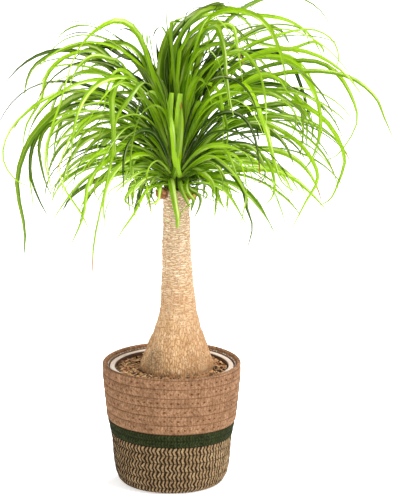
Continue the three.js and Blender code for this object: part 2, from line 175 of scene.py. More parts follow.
# Heads round the trunk's top, each with the direction it faces in degrees and its own leaves.
# A named leaf is [facing, width, turn, points]. Its points are [across, height] as seen from EYE
# on the plane through the trunk's axis, and a third number is the depth where the leaf leaves
# the upright plane that it arches in.
HEADS = [
  {
    "name": "leaf_head_right",
    "facing": 0,
    "spread": [-27, 27],
    "vigour": 0.8,
    "fillers": 26,
    "leaves": [
      [-8, 6, 60, [[60, 500], [120, 532], [180, 540], [226, 532], [258, 508], [271, 480],
        [285, 448]]],
      [8, 6, 70, [[70, 520], [125, 547], [176, 553], [208, 539], [230, 505], [236, 472],
        [215, 435], [196, 424]]],
      [-15, 6, -70, [[70, 475], [125, 498], [165, 497], [200, 472], [221, 430], [213, 395],
        [203, 374], [186, 365]]],
      [-22, 6, 80, [[60, 465], [105, 478], [153, 455], [178, 428], [187, 400], [171, 369],
        [150, 326]]],
      [-18, 6.5, -60, [[80, 540], [125, 556], [160, 543], [180, 515], [190, 480], [183, 435],
        [165, 406]]],
      [15, 4, 40, [[50, 540], [100, 573], [136, 586], [175, 593], [203, 580], [212, 553],
        [197, 520]]],
      [22, 5, 60, [[60, 550], [110, 566], [150, 568], [180, 577], [192, 568], [194, 555]]],
      [-24, 5, 50, [[56, 432], [75, 441], [95, 445], [112, 432], [120, 408], [105, 397]]],
    ],
  },
  {
    "name": "leaf_head_back_right",
    "facing": 60,
    "spread": [33, 87],
    "vigour": 0.86,
    "fillers": 26,
    "leaves": [
      [50, 7, 50, [[5, 560], [35, 612], [77, 619], [112, 605], [140, 580], [155, 550]]],
      [62, 7, -60, [[0, 590], [14, 603], [50, 622], [72, 618], [98, 600], [113, 570]]],
      [45, 6, 60, [[40, 540], [75, 566], [100, 560], [112, 540], [119, 505], [121, 480]]],
      [38, 6, -60, [[40, 590], [80, 610], [118, 610], [150, 603], [177, 584], [194, 553]]],
    ],
  },
  {
    "name": "leaf_head_back_left",
    "facing": 120,
    "spread": [93, 147],
    "vigour": 0.73,
    "fillers": 25,
    "leaves": [
      [136, 4, 50, [[-20, 540], [-50, 570], [-82, 590], [-112, 598], [-137, 588], [-151, 564]]],
      [142, 5, -50, [[-20, 530], [-45, 568], [-70, 577], [-95, 570], [-113, 540], [-117, 508],
        [-110, 470]]],
    ],
  },
  {
    "name": "leaf_head_left",
    "facing": 180,
    "spread": [153, 207],
    "vigour": 0.72,
    "fillers": 27,
    "leaves": [
      [165, 6, -70, [[-40, 515], [-72, 552], [-100, 573], [-138, 567], [-172, 547], [-185, 517],
        [-182, 490]]],
      [173, 6, 60, [[-50, 525], [-92, 563], [-131, 559], [-157, 535], [-165, 503], [-184, 470],
        [-190, 432]]],
      [187, 9, 80, [[-40, 485], [-80, 508], [-118, 508], [-155, 480], [-183, 445], [-197, 395],
        [-188, 335], [-190, 295]]],
      [180, 6, -70, [[-50, 480], [-105, 499], [-148, 484], [-174, 450], [-180, 410], [-170, 376],
        [-157, 350]]],
      [197, 4.5, 50, [[-50, 490], [-95, 512], [-140, 513], [-182, 488], [-208, 458], [-214, 425],
        [-197, 398], [-170, 388]]],
    ],
  },
  {
    "name": "leaf_head_front_left",
    "facing": 240,
    "spread": [213, 248],
    "vigour": 0.72,
    "fillers": 17,
    "leaves": [
      [217, 8, 70, [[-23, 531], [-40, 585], [-66, 604], [-98, 589], [-122, 558], [-140, 500],
        [-161, 432], [-150, 377]]],
      [232, 8, -60, [[-22, 480], [-42, 520], [-61, 532], [-75, 505], [-73, 445], [-84, 390],
        [-99, 320], [-102, 272]]],
      [224, 7, 60, [[-40, 520], [-66, 541], [-80, 520], [-86, 485], [-94, 440], [-97, 385]]],
      [243, 6, -50, [[-12, 500], [-33, 526], [-52, 506], [-68, 482], [-72, 455], [-70, 425]]],
      [254, 5, 50, [[-5, 478], [-20, 496], [-38, 485], [-48, 455], [-52, 420], [-50, 384]]],
      [228, 7, -60, [[-30, 458], [-55, 449], [-80, 428], [-105, 397], [-113, 352], [-131, 310]]],
      [219, 6, 70, [[-50, 478], [-89, 484], [-118, 469], [-141, 425], [-138, 392], [-115, 355],
        [-104, 330]]],
      [231, 5, -40, [[-14, 402], [-24, 405], [-37, 399], [-47, 388], [-47, 370]]],
      [246, 5, 50, [[-10, 404], [-20, 404], [-34, 396], [-43, 384], [-42, 368], [-27, 347]]],
      [262, 8, 0, [[-1, 402, -20], [1, 392, -27], [5, 367, -29], [8, 350, -27], [8, 337, -26]]],
      [262, 8, 0, [[0, 440, -13], [-2, 480, -15], [1, 512, -20]]],
    ],
  },
  {
    "name": "leaf_head_front_right",
    "facing": 300,
    "spread": [292, 327],
    "vigour": 0.85,
    "fillers": 18,
    "leaves": [
      [311, 8, 60, [[30, 428], [45, 435], [60, 424], [77, 409], [92, 388], [97, 362], [104, 338],
        [97, 308]]],
      [304, 5, -50, [[40, 430], [66, 438], [86, 427], [95, 398], [96, 376], [91, 352], [85, 328]]],
      [299, 8, 50, [[20, 530], [40, 585], [57, 597], [67, 568], [70, 535], [74, 505], [80, 480]]],
      [290, 6, -50, [[16, 520], [32, 562], [46, 568], [60, 552], [70, 520], [74, 490]]],
      [314, 5, 50, [[30, 560], [58, 595], [78, 597], [84, 570], [88, 545], [91, 525]]],
      [321, 8, -60, [[10, 560], [50, 608], [85, 617], [117, 603], [137, 568], [145, 530],
        [147, 490]]],
      [323, 7, 60, [[50, 505], [85, 521], [100, 514], [121, 464], [131, 425], [142, 396],
        [161, 383]]],
      [319, 5, 40, [[35, 394], [50, 399], [65, 395], [80, 386], [90, 381]]],
      [278, 6, 0, [[11, 399, -21], [13, 388, -27], [18, 376, -31], [24, 364, -32]]],
      [276, 9, 0, [[9, 450, -14], [10, 485, -17], [12, 511, -20]]],
    ],
  },
]

# More leaves that the photograph shows, for the scene only, written in the same way
MORE_LEAVES = {
    "leaf_head_left": [
        [190, 6, 60, [[-55, 540], [-80, 556], [-100, 558], [-117, 545], [-128, 522], [-137, 498]]],
        [176, 3, 40, [[-45, 520], [-75, 535], [-100, 544], [-130, 548], [-150, 543], [-163, 528],
          [-168, 512]]],
        [184, 6, -50, [[-40, 470], [-80, 484], [-105, 481], [-135, 478], [-158, 468],
          [-168, 445], [-166, 420], [-160, 395], [-152, 377]]],
        [178, 1.8, 0, [[-60, 486], [-110, 492], [-150, 494], [-180, 491], [-210, 490]]],
        [205, 5, 50, [[-50, 470], [-90, 488], [-120, 486], [-145, 474], [-156, 450],
          [-158, 420], [-152, 392]]],
        [172, 4, -40, [[-60, 470], [-110, 490], [-150, 478], [-174, 445], [-181, 410],
          [-178, 380], [-177, 358]]],
        [200, 3, 40, [[-60, 475], [-110, 482], [-150, 460], [-158, 440], [-152, 420],
          [-151, 402]]],
        [168, 6, 60, [[-40, 500], [-75, 530], [-105, 540], [-135, 525], [-150, 495],
          [-160, 465], [-178, 430]]],
        [194, 7, -70, [[-35, 450], [-65, 462], [-95, 458], [-120, 440], [-135, 410],
          [-140, 380]]],
        [160, 7, 50, [[-35, 470], [-70, 500], [-100, 505], [-130, 490], [-145, 460],
          [-150, 430]]],
        [158, 7, -50, [[-44, 527], [-65, 544], [-81, 556], [-97, 566], [-110, 566],
          [-122, 555]]],
    ],
    "leaf_head_back_left": [
        [140, 2, 40, [[-45, 565], [-70, 577], [-95, 586], [-115, 589], [-135, 583],
          [-148, 572]]],
        [120, 2, 10, [[-30, 560], [-36, 590], [-39, 616]]],
        [105, 8, 20, [[-12, 510], [-21, 550], [-28, 590]]],
        [100, 2, 10, [[-2, 560], [-5, 600], [-6, 622]]],
        [118, 3, 30, [[-2, 550], [-5, 583], [-12, 596], [-20, 590], [-25, 572]]],
        [110, 7, 20, [[-6, 520], [-16, 560], [-20, 592]]],
        [138, 6, 50, [[-25, 520], [-48, 560], [-66, 578], [-82, 572], [-92, 550]]],
        [128, 7, -50, [[-18, 500], [-40, 545], [-58, 560], [-74, 550], [-82, 525]]],
        [145, 7, 40, [[-30, 500], [-60, 525], [-85, 528], [-103, 512], [-112, 485]]],
        [130, 5, 20, [[-19, 492, 10], [-24, 535, 16], [-30, 559, 22], [-36, 578, 30],
          [-43, 592, 38], [-51, 600, 46], [-65, 604, 54], [-81, 599, 60],
          [-94, 592, 64], [-103, 583, 66], [-115, 569, 68]], 0.5],
        [148, 6, -40, [[-26, 526], [-40, 550], [-52, 561], [-72, 574], [-90, 574],
          [-103, 569], [-116, 557]]],
        [150, 7, 50, [[-34, 544], [-56, 555], [-72, 566], [-81, 571], [-93, 569],
          [-103, 560]]],
        [124, 8, 20, [[-16, 473, 12], [-19, 521, 18], [-25, 554, 24], [-33, 576, 30]]],
        [138, 4, 30, [[-29, 537], [-39, 556], [-49, 568], [-61, 579], [-74, 588], [-89, 594],
          [-102, 597]]],
        [142, 7, -40, [[-41, 523], [-51, 534], [-64, 544], [-77, 556], [-89, 563],
          [-102, 568], [-116, 562]]],
        [146, 4, 40, [[-40, 515], [-55, 535], [-73, 550], [-85, 556], [-102, 556],
          [-118, 546]]],
        [140, 5, 60, [[-35, 505], [-50, 525], [-68, 540], [-80, 545], [-92, 548],
          [-102, 544], [-112, 530]]],
        [122, 8, 16, [[-25, 535, 14], [-29, 559, 18], [-30, 575, 22], [-30, 589, 26]], 0.1],
        [130, 7, -30, [[-22, 520, 14], [-34, 552, 22], [-50, 570, 30], [-66, 574, 38],
          [-80, 562, 44]], 0.1],
        [132, 8, -30, [[-14, 463, 10], [-25, 506, 16], [-43, 530, 24], [-60, 530, 32],
          [-74, 513, 38]]],
    ],
    "leaf_head_back_right": [
        [86, 9, 12, [[4, 470, 12], [6, 520, 18], [9, 560, 24], [14, 592, 30]]],
        [80, 9, -14, [[8, 470, 12], [14, 525, 18], [22, 566, 24], [36, 592, 30]]],
        [76, 8, 16, [[6, 480, 18], [10, 530, 26], [17, 570, 34], [26, 602, 42]]],
        [74, 9, -12, [[10, 450, 14], [20, 500, 20], [30, 540, 26], [44, 572, 32], [58, 585, 38]]],
        [48, 8, 40, [[5, 500, 14], [15, 555, 22], [35, 585, 30], [60, 598, 38], [85, 590, 44],
          [100, 565, 48]]],
        [52, 7, -50, [[10, 500, 12], [25, 548, 18], [45, 570, 24], [70, 574, 30],
          [95, 560, 36], [110, 528, 40]]],
        [42, 8, 40, [[12, 480, 10], [30, 528, 16], [55, 550, 22], [80, 547, 28],
          [100, 528, 32], [112, 496, 36]]],
        [56, 7, 50, [[2, 520, 18], [8, 572, 28], [22, 598, 36], [42, 610, 42], [62, 612, 48],
          [84, 602, 54]]],
        [46, 6, -40, [[8, 520, 14], [18, 572, 22], [32, 592, 28], [52, 602, 34], [76, 598, 40],
          [96, 578, 46], [106, 552, 48]]],
        [38, 8, 60, [[20, 490, 8], [42, 525, 14], [66, 538, 20], [90, 530, 26], [108, 505, 30],
          [116, 470, 32]]],
        [70, 7, 50, [[-8, 530, 18], [0, 580, 30], [25, 609, 50], [45, 620, 60], [62, 625, 68],
          [78, 615, 75], [92, 600, 80]]],
        [75, 1.8, 0, [[15, 600, 40], [50, 622, 60], [80, 627, 70], [98, 623, 80],
          [112, 610, 85], [120, 595, 90]]],
        [60, 8, -40, [[0, 500, 15], [5, 550, 25], [20, 582, 35], [38, 600, 45], [58, 612, 55],
          [80, 612, 60], [100, 604, 65]]],
        [50, 8, 50, [[4, 500, 14], [12, 550, 20], [28, 580, 30], [50, 594, 40], [70, 595, 50],
          [82, 585, 58], [90, 565, 60]]],
        [85, 9, 30, [[-12, 490, 14], [-14, 540, 20], [-8, 575, 28], [6, 602, 36],
          [20, 609, 44]]],
        [75, 8, -30, [[-6, 480, 14], [-5, 530, 22], [5, 570, 30], [22, 598, 40],
          [40, 610, 50]]],
        [60, 8, 30, [[2, 470, 14], [6, 520, 20], [20, 560, 30], [38, 585, 40], [55, 597, 50],
          [75, 600, 58]]],
        [40, 7, -50, [[8, 470, 14], [15, 515, 18], [32, 545, 26], [55, 560, 36], [78, 560, 46],
          [100, 552, 56], [118, 535, 60]]],
        [35, 7, 50, [[12, 460, 13], [22, 505, 18], [45, 535, 28], [72, 550, 40],
          [100, 548, 52], [125, 535, 60], [140, 510, 66]]],
        [45, 7, -40, [[30, 545], [60, 570], [90, 581], [120, 573], [148, 568], [165, 560]]],
        [55, 1.6, 0, [[40, 600, 50], [100, 622, 80], [135, 629, 90], [155, 623, 95],
          [163, 611, 95], [157, 601, 92]]],
        [50, 1.8, 0, [[50, 610, 55], [90, 622, 75], [120, 618, 90], [150, 613, 100],
          [161, 603, 105]]],
        [36, 6, 60, [[50, 550], [85, 580], [118, 596], [140, 590], [152, 570]]],
        [88, 10, 20, [[-2, 473, 14], [-5, 521, 20], [-4, 564, 28], [6, 586, 36],
          [21, 590, 44]], -0.15],
        [78, 10, -20, [[2, 473, 14], [6, 521, 22], [14, 559, 30], [29, 580, 38],
          [50, 588, 44]], -0.15],
        [70, 10, 20, [[6, 463, 12], [12, 511, 18], [23, 551, 26], [41, 574, 34],
          [62, 582, 42]], -0.15],
        [66, 8, -30, [[4, 492, 16], [10, 550, 26], [23, 582, 36], [43, 596, 46],
          [64, 598, 54]], -0.1],
        [48, 9, 30, [[8, 473, 14], [17, 530, 20], [33, 564, 28], [54, 574, 34],
          [78, 573, 40], [95, 557, 44]], -0.15],
        [36, 9, 40, [[14, 463, 10], [33, 506, 14], [56, 528, 18], [80, 527, 22],
          [99, 509, 26], [109, 480, 28]], 0],
        [34, 9, -40, [[17, 444, 10], [39, 482, 14], [62, 502, 18], [87, 497, 22],
          [105, 475, 26], [113, 446, 28]], 0.05],
        [40, 8, 40, [[12, 434, 8], [29, 463, 12], [53, 477, 16], [78, 469, 20],
          [95, 448, 24]], 0.1],
    ],
    "leaf_head_right": [
        [22, 2.5, 30, [[70, 585], [120, 598], [150, 598], [168, 590], [176, 570], [179, 552]]],
        [5, 6, 50, [[60, 530], [110, 556], [145, 556], [170, 537], [183, 510], [190, 480],
          [190, 455], [178, 425]]],
        [-5, 2.2, 0, [[60, 500], [110, 525], [150, 520], [185, 492], [212, 469], [234, 464]]],
        [-10, 1.6, 0, [[60, 480], [120, 494], [165, 487], [190, 487], [213, 490]]],
        [-20, 6, 30, [[50, 460], [90, 485], [125, 495], [150, 497], [165, 490], [168, 465],
          [166, 440], [163, 425]]],
        [-25, 3, 20, [[50, 470], [100, 492], [140, 500], [158, 485], [157, 465], [147, 447],
          [135, 438]]],
        [-12, 3, 30, [[70, 500], [120, 510], [165, 490], [188, 460], [184, 432], [163, 404]]],
        [-26, 2, 10, [[50, 480], [95, 495], [122, 470], [130, 430], [145, 407], [165, 400],
          [181, 398]]],
        [12, 7, 70, [[50, 500], [95, 530], [130, 532], [158, 510], [172, 475], [172, 440]]],
        [20, 6, -60, [[45, 520], [80, 555], [120, 566], [150, 550], [165, 520], [176, 480],
          [182, 450]]],
        [-15, 7, 60, [[45, 450], [85, 470], [120, 468], [145, 445], [158, 415]]],
        [0, 6, -70, [[50, 480], [95, 510], [135, 515], [162, 498], [180, 470], [176, 440]]],
        [-22, 5, 40, [[40, 430], [75, 446], [105, 440], [125, 420], [132, 395], [128, 375],
          [112, 362]]],
    ],
    "leaf_head_front_right": [
        [278, 9, -12, [[8, 414, -19], [4, 442, -22], [0, 475, -25], [-6, 505, -27]], 0.5],
        [310, 6, 40, [[30, 520], [60, 556], [85, 566], [103, 552], [114, 532], [120, 500],
          [121, 470]]],
        [305, 5, 30, [[15, 480, -14], [30, 512, -22], [45, 524, -32], [58, 517, -44],
          [65, 497, -54], [67, 470, -62], [65, 440, -66]]],
        [330, 7, 60, [[35, 470], [65, 500], [95, 525], [115, 535], [135, 530], [150, 510]]],
        [300, 8, 20, [[18, 440, -12], [28, 475, -18], [40, 500, -26], [52, 512, -36]]],
        [292, 8, -20, [[16, 440, -13], [24, 480, -20], [36, 500, -30], [44, 492, -40]]],
        [310, 8, 20, [[22, 430, -12], [38, 460, -22], [55, 480, -34], [68, 492, -46],
          [78, 486, -56]]],
        [318, 7, -30, [[26, 425, -12], [45, 450, -22], [64, 468, -36], [80, 478, -50],
          [97, 474, -62]]],
        [325, 3, 10, [[50, 440], [85, 440], [105, 432], [117, 418], [120, 405], [113, 396],
          [106, 397]]],
        [315, 3, 10, [[22, 390, -22], [32, 388, -32], [41, 386, -40], [46, 380, -44],
          [43, 375, -46], [39, 378, -47]]],
        [308, 1.5, 10, [[30, 385, -24], [50, 374, -40], [82, 362, -60]]],
        [312, 3, 10, [[25, 392, -20], [38, 396, -30], [50, 392, -40], [57, 380, -46]]],
        [318, 3, 10, [[28, 390, -20], [42, 395, -30], [52, 388, -38], [53, 373, -42]]],
        [300, 8, 40, [[20, 450, -13], [34, 488, -24], [52, 502, -40], [66, 486, -58],
          [72, 460, -72], [70, 440, -80]]],
        [322, 7, -50, [[32, 430, -12], [58, 448, -28], [82, 446, -44], [100, 428, -58],
          [108, 404, -66]]],
        [308, 6, 30, [[26, 415, -14], [44, 424, -28], [60, 416, -42], [70, 396, -52],
          [74, 376, -56]]],
        [296, 7, -30, [[16, 470, -13], [22, 510, -22], [34, 530, -34], [46, 520, -48],
          [52, 495, -60]]],
        [274, 9, -8, [[12, 440, -12], [16, 480, -13], [24, 520, -16], [36, 545, -24]]],
        [280, 8, 8, [[10, 430, -12], [20, 455, -16], [26, 490, -20], [30, 510, -24]]],
    ],
    "leaf_head_front_left": [
        [262, 9, 12, [[6, 412, -18], [10, 440, -21], [13, 470, -24], [13, 500, -27]]],
        [235, 7, 30, [[-8, 500, -14], [-22, 535, -20], [-34, 570, -26], [-47, 597, -32]]],
        [226, 5, 60, [[-40, 470], [-80, 482], [-108, 470], [-125, 448], [-133, 425],
          [-132, 396]]],
        [222, 4, -50, [[-45, 465], [-80, 474], [-105, 464], [-120, 445], [-122, 420]]],
        [231, 6, 50, [[-30, 462], [-60, 468], [-88, 456], [-108, 438], [-120, 412],
          [-128, 382]]],
        [232, 3, 40, [[-35, 440], [-70, 446], [-98, 430], [-113, 412], [-119, 398],
          [-117, 382]]],
        [234, 3, 40, [[-40, 430], [-75, 424], [-93, 412], [-101, 396], [-103, 382],
          [-99, 370]]],
        [228, 3.5, -40, [[-30, 425], [-60, 422], [-84, 408], [-96, 396], [-98, 383],
          [-90, 369]]],
        [236, 3.5, 30, [[-25, 410], [-40, 412], [-54, 401], [-63, 388], [-63, 374],
          [-51, 358]]],
        [222, 5, 20, [[-20, 408], [-45, 413], [-70, 412], [-86, 402], [-92, 388]]],
        [238, 8, 30, [[-5, 440, -14], [-14, 475, -20], [-30, 500, -30], [-48, 505, -44],
          [-60, 490, -54]]],
        [246, 7, -20, [[-4, 440, -14], [-10, 480, -22], [-22, 520, -32], [-38, 545, -44],
          [-52, 552, -54]]],
        [228, 7, 30, [[-8, 430, -14], [-25, 460, -24], [-45, 475, -38], [-65, 478, -52],
          [-80, 468, -64]]],
        [232, 6, -40, [[-8, 425, -14], [-28, 448, -28], [-50, 458, -44], [-72, 452, -60],
          [-88, 436, -72]]],
        [222, 6, 40, [[-10, 420], [-35, 438], [-60, 443], [-82, 434], [-98, 418]]],
        [236, 7, 20, [[-6, 430, -14], [-20, 455, -24], [-40, 464, -40], [-60, 452, -56],
          [-74, 432, -66]]],
        [250, 1.6, 10, [[-12, 402, -24], [-30, 380, -34], [-36, 366, -36], [-12, 350, -34],
          [10, 335, -33]]],
        [252, 8, 30, [[-4, 450, -16], [-10, 490, -24], [-24, 512, -38], [-38, 502, -52],
          [-46, 478, -62]]],
        [266, 9, 8, [[2, 440, -12], [-3, 480, -13], [-8, 515, -16], [-20, 540, -24]]],
        [258, 8, -8, [[4, 430, -12], [-6, 455, -16], [-12, 490, -20], [-18, 512, -24]]],
        [240, 7, -30, [[-8, 415, -14], [-24, 432, -28], [-42, 430, -44], [-56, 412, -56],
          [-62, 390, -62]]],
    ],
}


def along(points, x):
    """Value at x on a line through [x, value] points, held past its ends."""
    return np.interp(x, [point[0] for point in points], [point[1] for point in points])


def between(low, high, share):
    return low + (high - low) * share


def repeatable(seed):
    """Plain repeatable draws in 0 to 1, the same as in the part's source."""
    state = seed
    while True:
        state = (state * 1664525 + 1013904223) % 4294967296
        yield state / 4294967296


def deselect():
    if bpy.context.object and bpy.context.object.mode != "OBJECT":
        bpy.ops.object.mode_set(mode="OBJECT")
    bpy.ops.object.select_all(action="DESELECT")


def points_of(obj):
    values = np.empty(len(obj.data.vertices) * 3)
    obj.data.vertices.foreach_get("co", values)
    return values.reshape(-1, 3) / MM


def move_points(obj, points):
    obj.data.vertices.foreach_set("co", (points * MM).ravel())
    obj.data.update()


def corner_points(mesh):
    """Vertex number of every face corner, and the face that each corner belongs to."""
    vertex = np.empty(len(mesh.loops), int)
    mesh.loops.foreach_get("vertex_index", vertex)
    totals = np.empty(len(mesh.polygons), int)
    mesh.polygons.foreach_get("loop_total", totals)
    return vertex, np.repeat(np.arange(len(totals)), totals)


def spun(name, section, columns, on_axis=False):
    """A section of [radius, height] points, in millimetres, spun round the upright axis."""
    deselect()
    bpy.ops.mesh.primitive_circle_add(vertices=len(section), radius=0.05)
    obj = bpy.context.object
    obj.name = obj.data.name = name
    move_points(obj, np.array([[radius, 0, height] for radius, height in section], float))
    bpy.ops.object.mode_set(mode="EDIT")
    if on_axis:
        mesh = bmesh.from_edit_mesh(obj.data)
        mesh.edges.ensure_lookup_table()
        for edge in mesh.edges:
            edge.select_set(all(abs(vert.co.x) < 1e-7 for vert in edge.verts))
        bmesh.update_edit_mesh(obj.data)
        bpy.ops.mesh.select_mode(type="EDGE")
        mesh.select_flush_mode()
        bpy.ops.mesh.delete(type="EDGE_FACE")
        bpy.ops.mesh.select_mode(type="VERT")
    bpy.ops.mesh.select_all(action="SELECT")
    bpy.ops.mesh.spin(steps=columns, angle=2 * math.pi, center=(0, 0, 0), axis=(0, 0, 1))
    bpy.ops.mesh.select_all(action="SELECT")
    bpy.ops.mesh.remove_doubles(threshold=1e-6)
    bpy.ops.mesh.select_all(action="SELECT")
    bpy.ops.mesh.normals_make_consistent(inside=False)
    bpy.ops.object.mode_set(mode="OBJECT")
    return obj


def only(obj):
    """Makes obj the one that is selected and active."""
    deselect()
    obj.select_set(True)
    bpy.context.view_layer.objects.active = obj


def smooth(obj, angle=None):
    only(obj)
    if angle is None:
        bpy.ops.object.shade_smooth()
    else:
        bpy.ops.object.shade_smooth_by_angle(angle=angle * DEG)


def finished(obj, material, nodes):
    """Gives a piece its finish, and lets it ride on the plant in place of its solids."""
    obj.data.materials.clear()
    obj.data.materials.append(material)
    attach(obj, "root")
    if nodes:
        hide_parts(*nodes)


def bumps(points, size, seed):
    """Soft noise from -1 to 1 at points, with lumps about size millimetres wide."""
    offset = Vector((seed * 17.3, seed * 5.1, seed * 9.7))
    return np.array([noise.noise(Vector(point / size) + offset) for point in points])


# Shader nodes

def feed(tree, socket, value):
    if isinstance(value, bpy.types.NodeSocket):
        tree.links.new(value, socket)
    else:
        socket.default_value = value


def node(tree, kind, values=None, **settings):
    made = tree.nodes.new(kind)
    for name, value in settings.items():
        setattr(made, name, value)
    for name, value in (values or {}).items():
        feed(tree, made.inputs[name], value)
    return made


def calc(tree, operation, *values, clamp=False):
    made = node(tree, "ShaderNodeMath", operation=operation, use_clamp=clamp)
    for socket, value in zip(made.inputs, values):
        feed(tree, socket, value)
    return made.outputs[0]


def mixed(tree, factor, first, second, blend="MIX"):
    made = node(tree, "ShaderNodeMix", data_type="RGBA", blend_type=blend)
    feed(tree, made.inputs[0], factor)
    feed(tree, made.inputs[6], first)
    feed(tree, made.inputs[7], second)
    return made.outputs[2]


def stepped(tree, value, low, high):
    """0 below low, 1 above high and smooth between them."""
    made = node(tree, "ShaderNodeMapRange", {0: value, 1: low, 2: high},
                interpolation_type="SMOOTHSTEP")
    return made.outputs[0]


def times(tree, *values):
    return calc(tree, "MULTIPLY", *values)


def plus(tree, *values, clamp=False):
    return calc(tree, "ADD", *values, clamp=clamp)


def tinted(tree, color, tint):
    """A colour multiplied by a tint of red, green and blue."""
    return mixed(tree, 1.0, color, (*tint, 1), "MULTIPLY")


def clouds(tree, place, scale, detail, roughness=0.5):
    return node(tree, "ShaderNodeTexNoise", {"Vector": place, "Scale": scale, "Detail": detail,
                                             "Roughness": roughness})


def parts(tree, place):
    """The X, Y and Z of a place."""
    return node(tree, "ShaderNodeSeparateXYZ", {0: place}).outputs


def carried(tree, name):
    """A value that the mesh carries."""
    return node(tree, "ShaderNodeAttribute", attribute_name=name).outputs["Fac"]


def shader_group(name, inputs, outputs, build):
    """A node group with named sockets. build returns the value of each output."""
    group = bpy.data.node_groups.new(name, "ShaderNodeTree")
    for label, kind, default in inputs:
        socket = group.interface.new_socket(name=label, in_out="INPUT", socket_type=kind)
        if default is not None:
            socket.default_value = default
    for label in outputs:
        group.interface.new_socket(name=label, in_out="OUTPUT", socket_type="NodeSocketFloat")
    start = group.nodes.new("NodeGroupInput")
    end = group.nodes.new("NodeGroupOutput")
    for label, value in zip(outputs, build(group, start.outputs)):
        group.links.new(value, end.inputs[label])
    return group


def mottle_group():
    """Fine and coarse noise in one mask, for fibres, grains and stains."""
    def build(tree, given):
        coarse = clouds(tree, given["Vector"], given["Coarse"], 4.0).outputs[0]
        fine = clouds(tree, given["Vector"], given["Fine"], 6.0, 0.65).outputs[0]
        both = plus(tree, times(tree, coarse, given["Share"]),
                    times(tree, fine, calc(tree, "SUBTRACT", 1.0, given["Share"])))
        return [stepped(tree, both, 0.33, 0.67), fine]

    return shader_group("Mottle", [
        ("Vector", "NodeSocketVector", None), ("Coarse", "NodeSocketFloat", 20.0),
        ("Fine", "NodeSocketFloat", 300.0), ("Share", "NodeSocketFloat", 0.5),
    ], ["Mask", "Grain"], build)


def braid_group():
    """Rows of flat braid from a map whose X counts turns and whose Y counts rows."""
    def build(tree, given):
        split = parts(tree, given["Vector"])
        turn, share = split[0], calc(tree, "FRACT", split[1])
        centred = calc(tree, "ABSOLUTE", calc(tree, "SUBTRACT", times(tree, share, 2.0), 1.0))
        slant = times(tree, calc(tree, "SUBTRACT", 1.0, centred), given["Slant"])
        uneven = clouds(tree, stretched(tree, given["Vector"], (90.0, 1.3, 1.0)), 1.0,
                        2.0).outputs[0]
        phase = plus(tree, times(tree, turn, given["Strands"]), slant)
        phase = plus(tree, phase, times(tree, uneven, given["Uneven"]))
        wave = calc(tree, "COSINE", times(tree, phase, 2 * math.pi))
        groove = stepped(tree, centred, 0.84, 1.0)
        spot = calc(tree, "FRACT", times(tree, turn, given["Stitches"]))
        along_row = calc(tree, "ABSOLUTE", calc(tree, "SUBTRACT", spot, 0.5))
        stitch = times(tree, stepped(tree, along_row, 0.2, 0.1), stepped(tree, centred, 0.26, 0.1))
        height = calc(tree, "SUBTRACT", times(tree, wave, 0.5),
                      times(tree, plus(tree, stitch, groove), 0.8))
        return [wave, groove, stitch, height]

    return shader_group("Braid rows", [
        ("Vector", "NodeSocketVector", None), ("Strands", "NodeSocketFloat", 100.0),
        ("Slant", "NodeSocketFloat", 0.5), ("Stitches", "NodeSocketFloat", 63.0),
        ("Uneven", "NodeSocketFloat", 0.8),
    ], ["Wave", "Groove", "Stitch", "Height"], build)


def group_node(tree, name, values):
    made = tree.nodes.new("ShaderNodeGroup")
    made.node_tree = bpy.data.node_groups[name]
    for label, value in values.items():
        feed(tree, made.inputs[label], value)
    return made.outputs


def mottled(tree, place, coarse, fine, share):
    """Mask and grain of the mottle at a place."""
    made = group_node(tree, "Mottle", {"Vector": place, "Coarse": coarse, "Fine": fine,
                                       "Share": share})
    return made["Mask"], made["Grain"]


def new_material(name):
    """An empty material, its node tree and its object coordinates."""
    material = bpy.data.materials.new(name)
    material.use_nodes = True
    tree = material.node_tree
    tree.nodes.clear()
    place = node(tree, "ShaderNodeTexCoord").outputs["Object"]
    return material, tree, place


def surface(tree, color, roughness, height=None, depth=0.0, strength=1.0, **values):
    """A Principled surface with its bump."""
    made = node(tree, "ShaderNodeBsdfPrincipled", {"Base Color": color, "Roughness": roughness})
    for name, value in values.items():
        made.inputs[name.replace("_", " ")].default_value = value
    if height is not None:
        bump = node(tree, "ShaderNodeBump", {"Height": height, "Distance": depth,
                                             "Strength": strength})
        tree.links.new(bump.outputs[0], made.inputs["Normal"])
    return made


def put_out(tree, shader):
    out = node(tree, "ShaderNodeOutputMaterial")
    tree.links.new(shader.outputs[0], out.inputs["Surface"])


def stretched(tree, place, scale, location=(0, 0, 0)):
    return node(tree, "ShaderNodeMapping",
                {"Vector": place, "Scale": scale, "Location": location}).outputs[0]


# Tints of the materials, as red, green and blue that a colour is multiplied by
BRAID_DIRTY = (0.66, 0.62, 0.58)
BRAID_CLEAN = (1.14, 1.14, 1.14)
BRAID_WEAVE = (0.6, 0.55, 0.48)
BARK_MOTTLE = (0.84, 0.76, 0.68)
BARK_FIBRE = (0.9, 0.82, 0.72)
BARK_PLATE = (0.84, 0.77, 0.68)
BARK_SIDE_SHADE = (0.78, 0.76, 0.76)
LEAF_STREAK = (0.76, 0.82, 0.6)
LEAF_MOTTLE = (0.72, 0.78, 0.6)
# The next two tints are painted shade: on one half of a folded blade, and on a leaf near the stem
LEAF_FOLD_SHADE = (0.54, 0.65, 0.3)
LEAF_CORE_SHADE = (0.36, 0.48, 0.12)
LEAF_THROUGH = (1.3, 1.15, 0.5)
# Shares of a leaf's painted light near its end, of its midrib and foot, and of the light let
# through
TIP_PAINTED_LIGHT = 0.08
MIDRIB = 0.35
FOOT = 0.25
LET_THROUGH = 0.28
PLASTIC_ROUGHNESS = 0.425


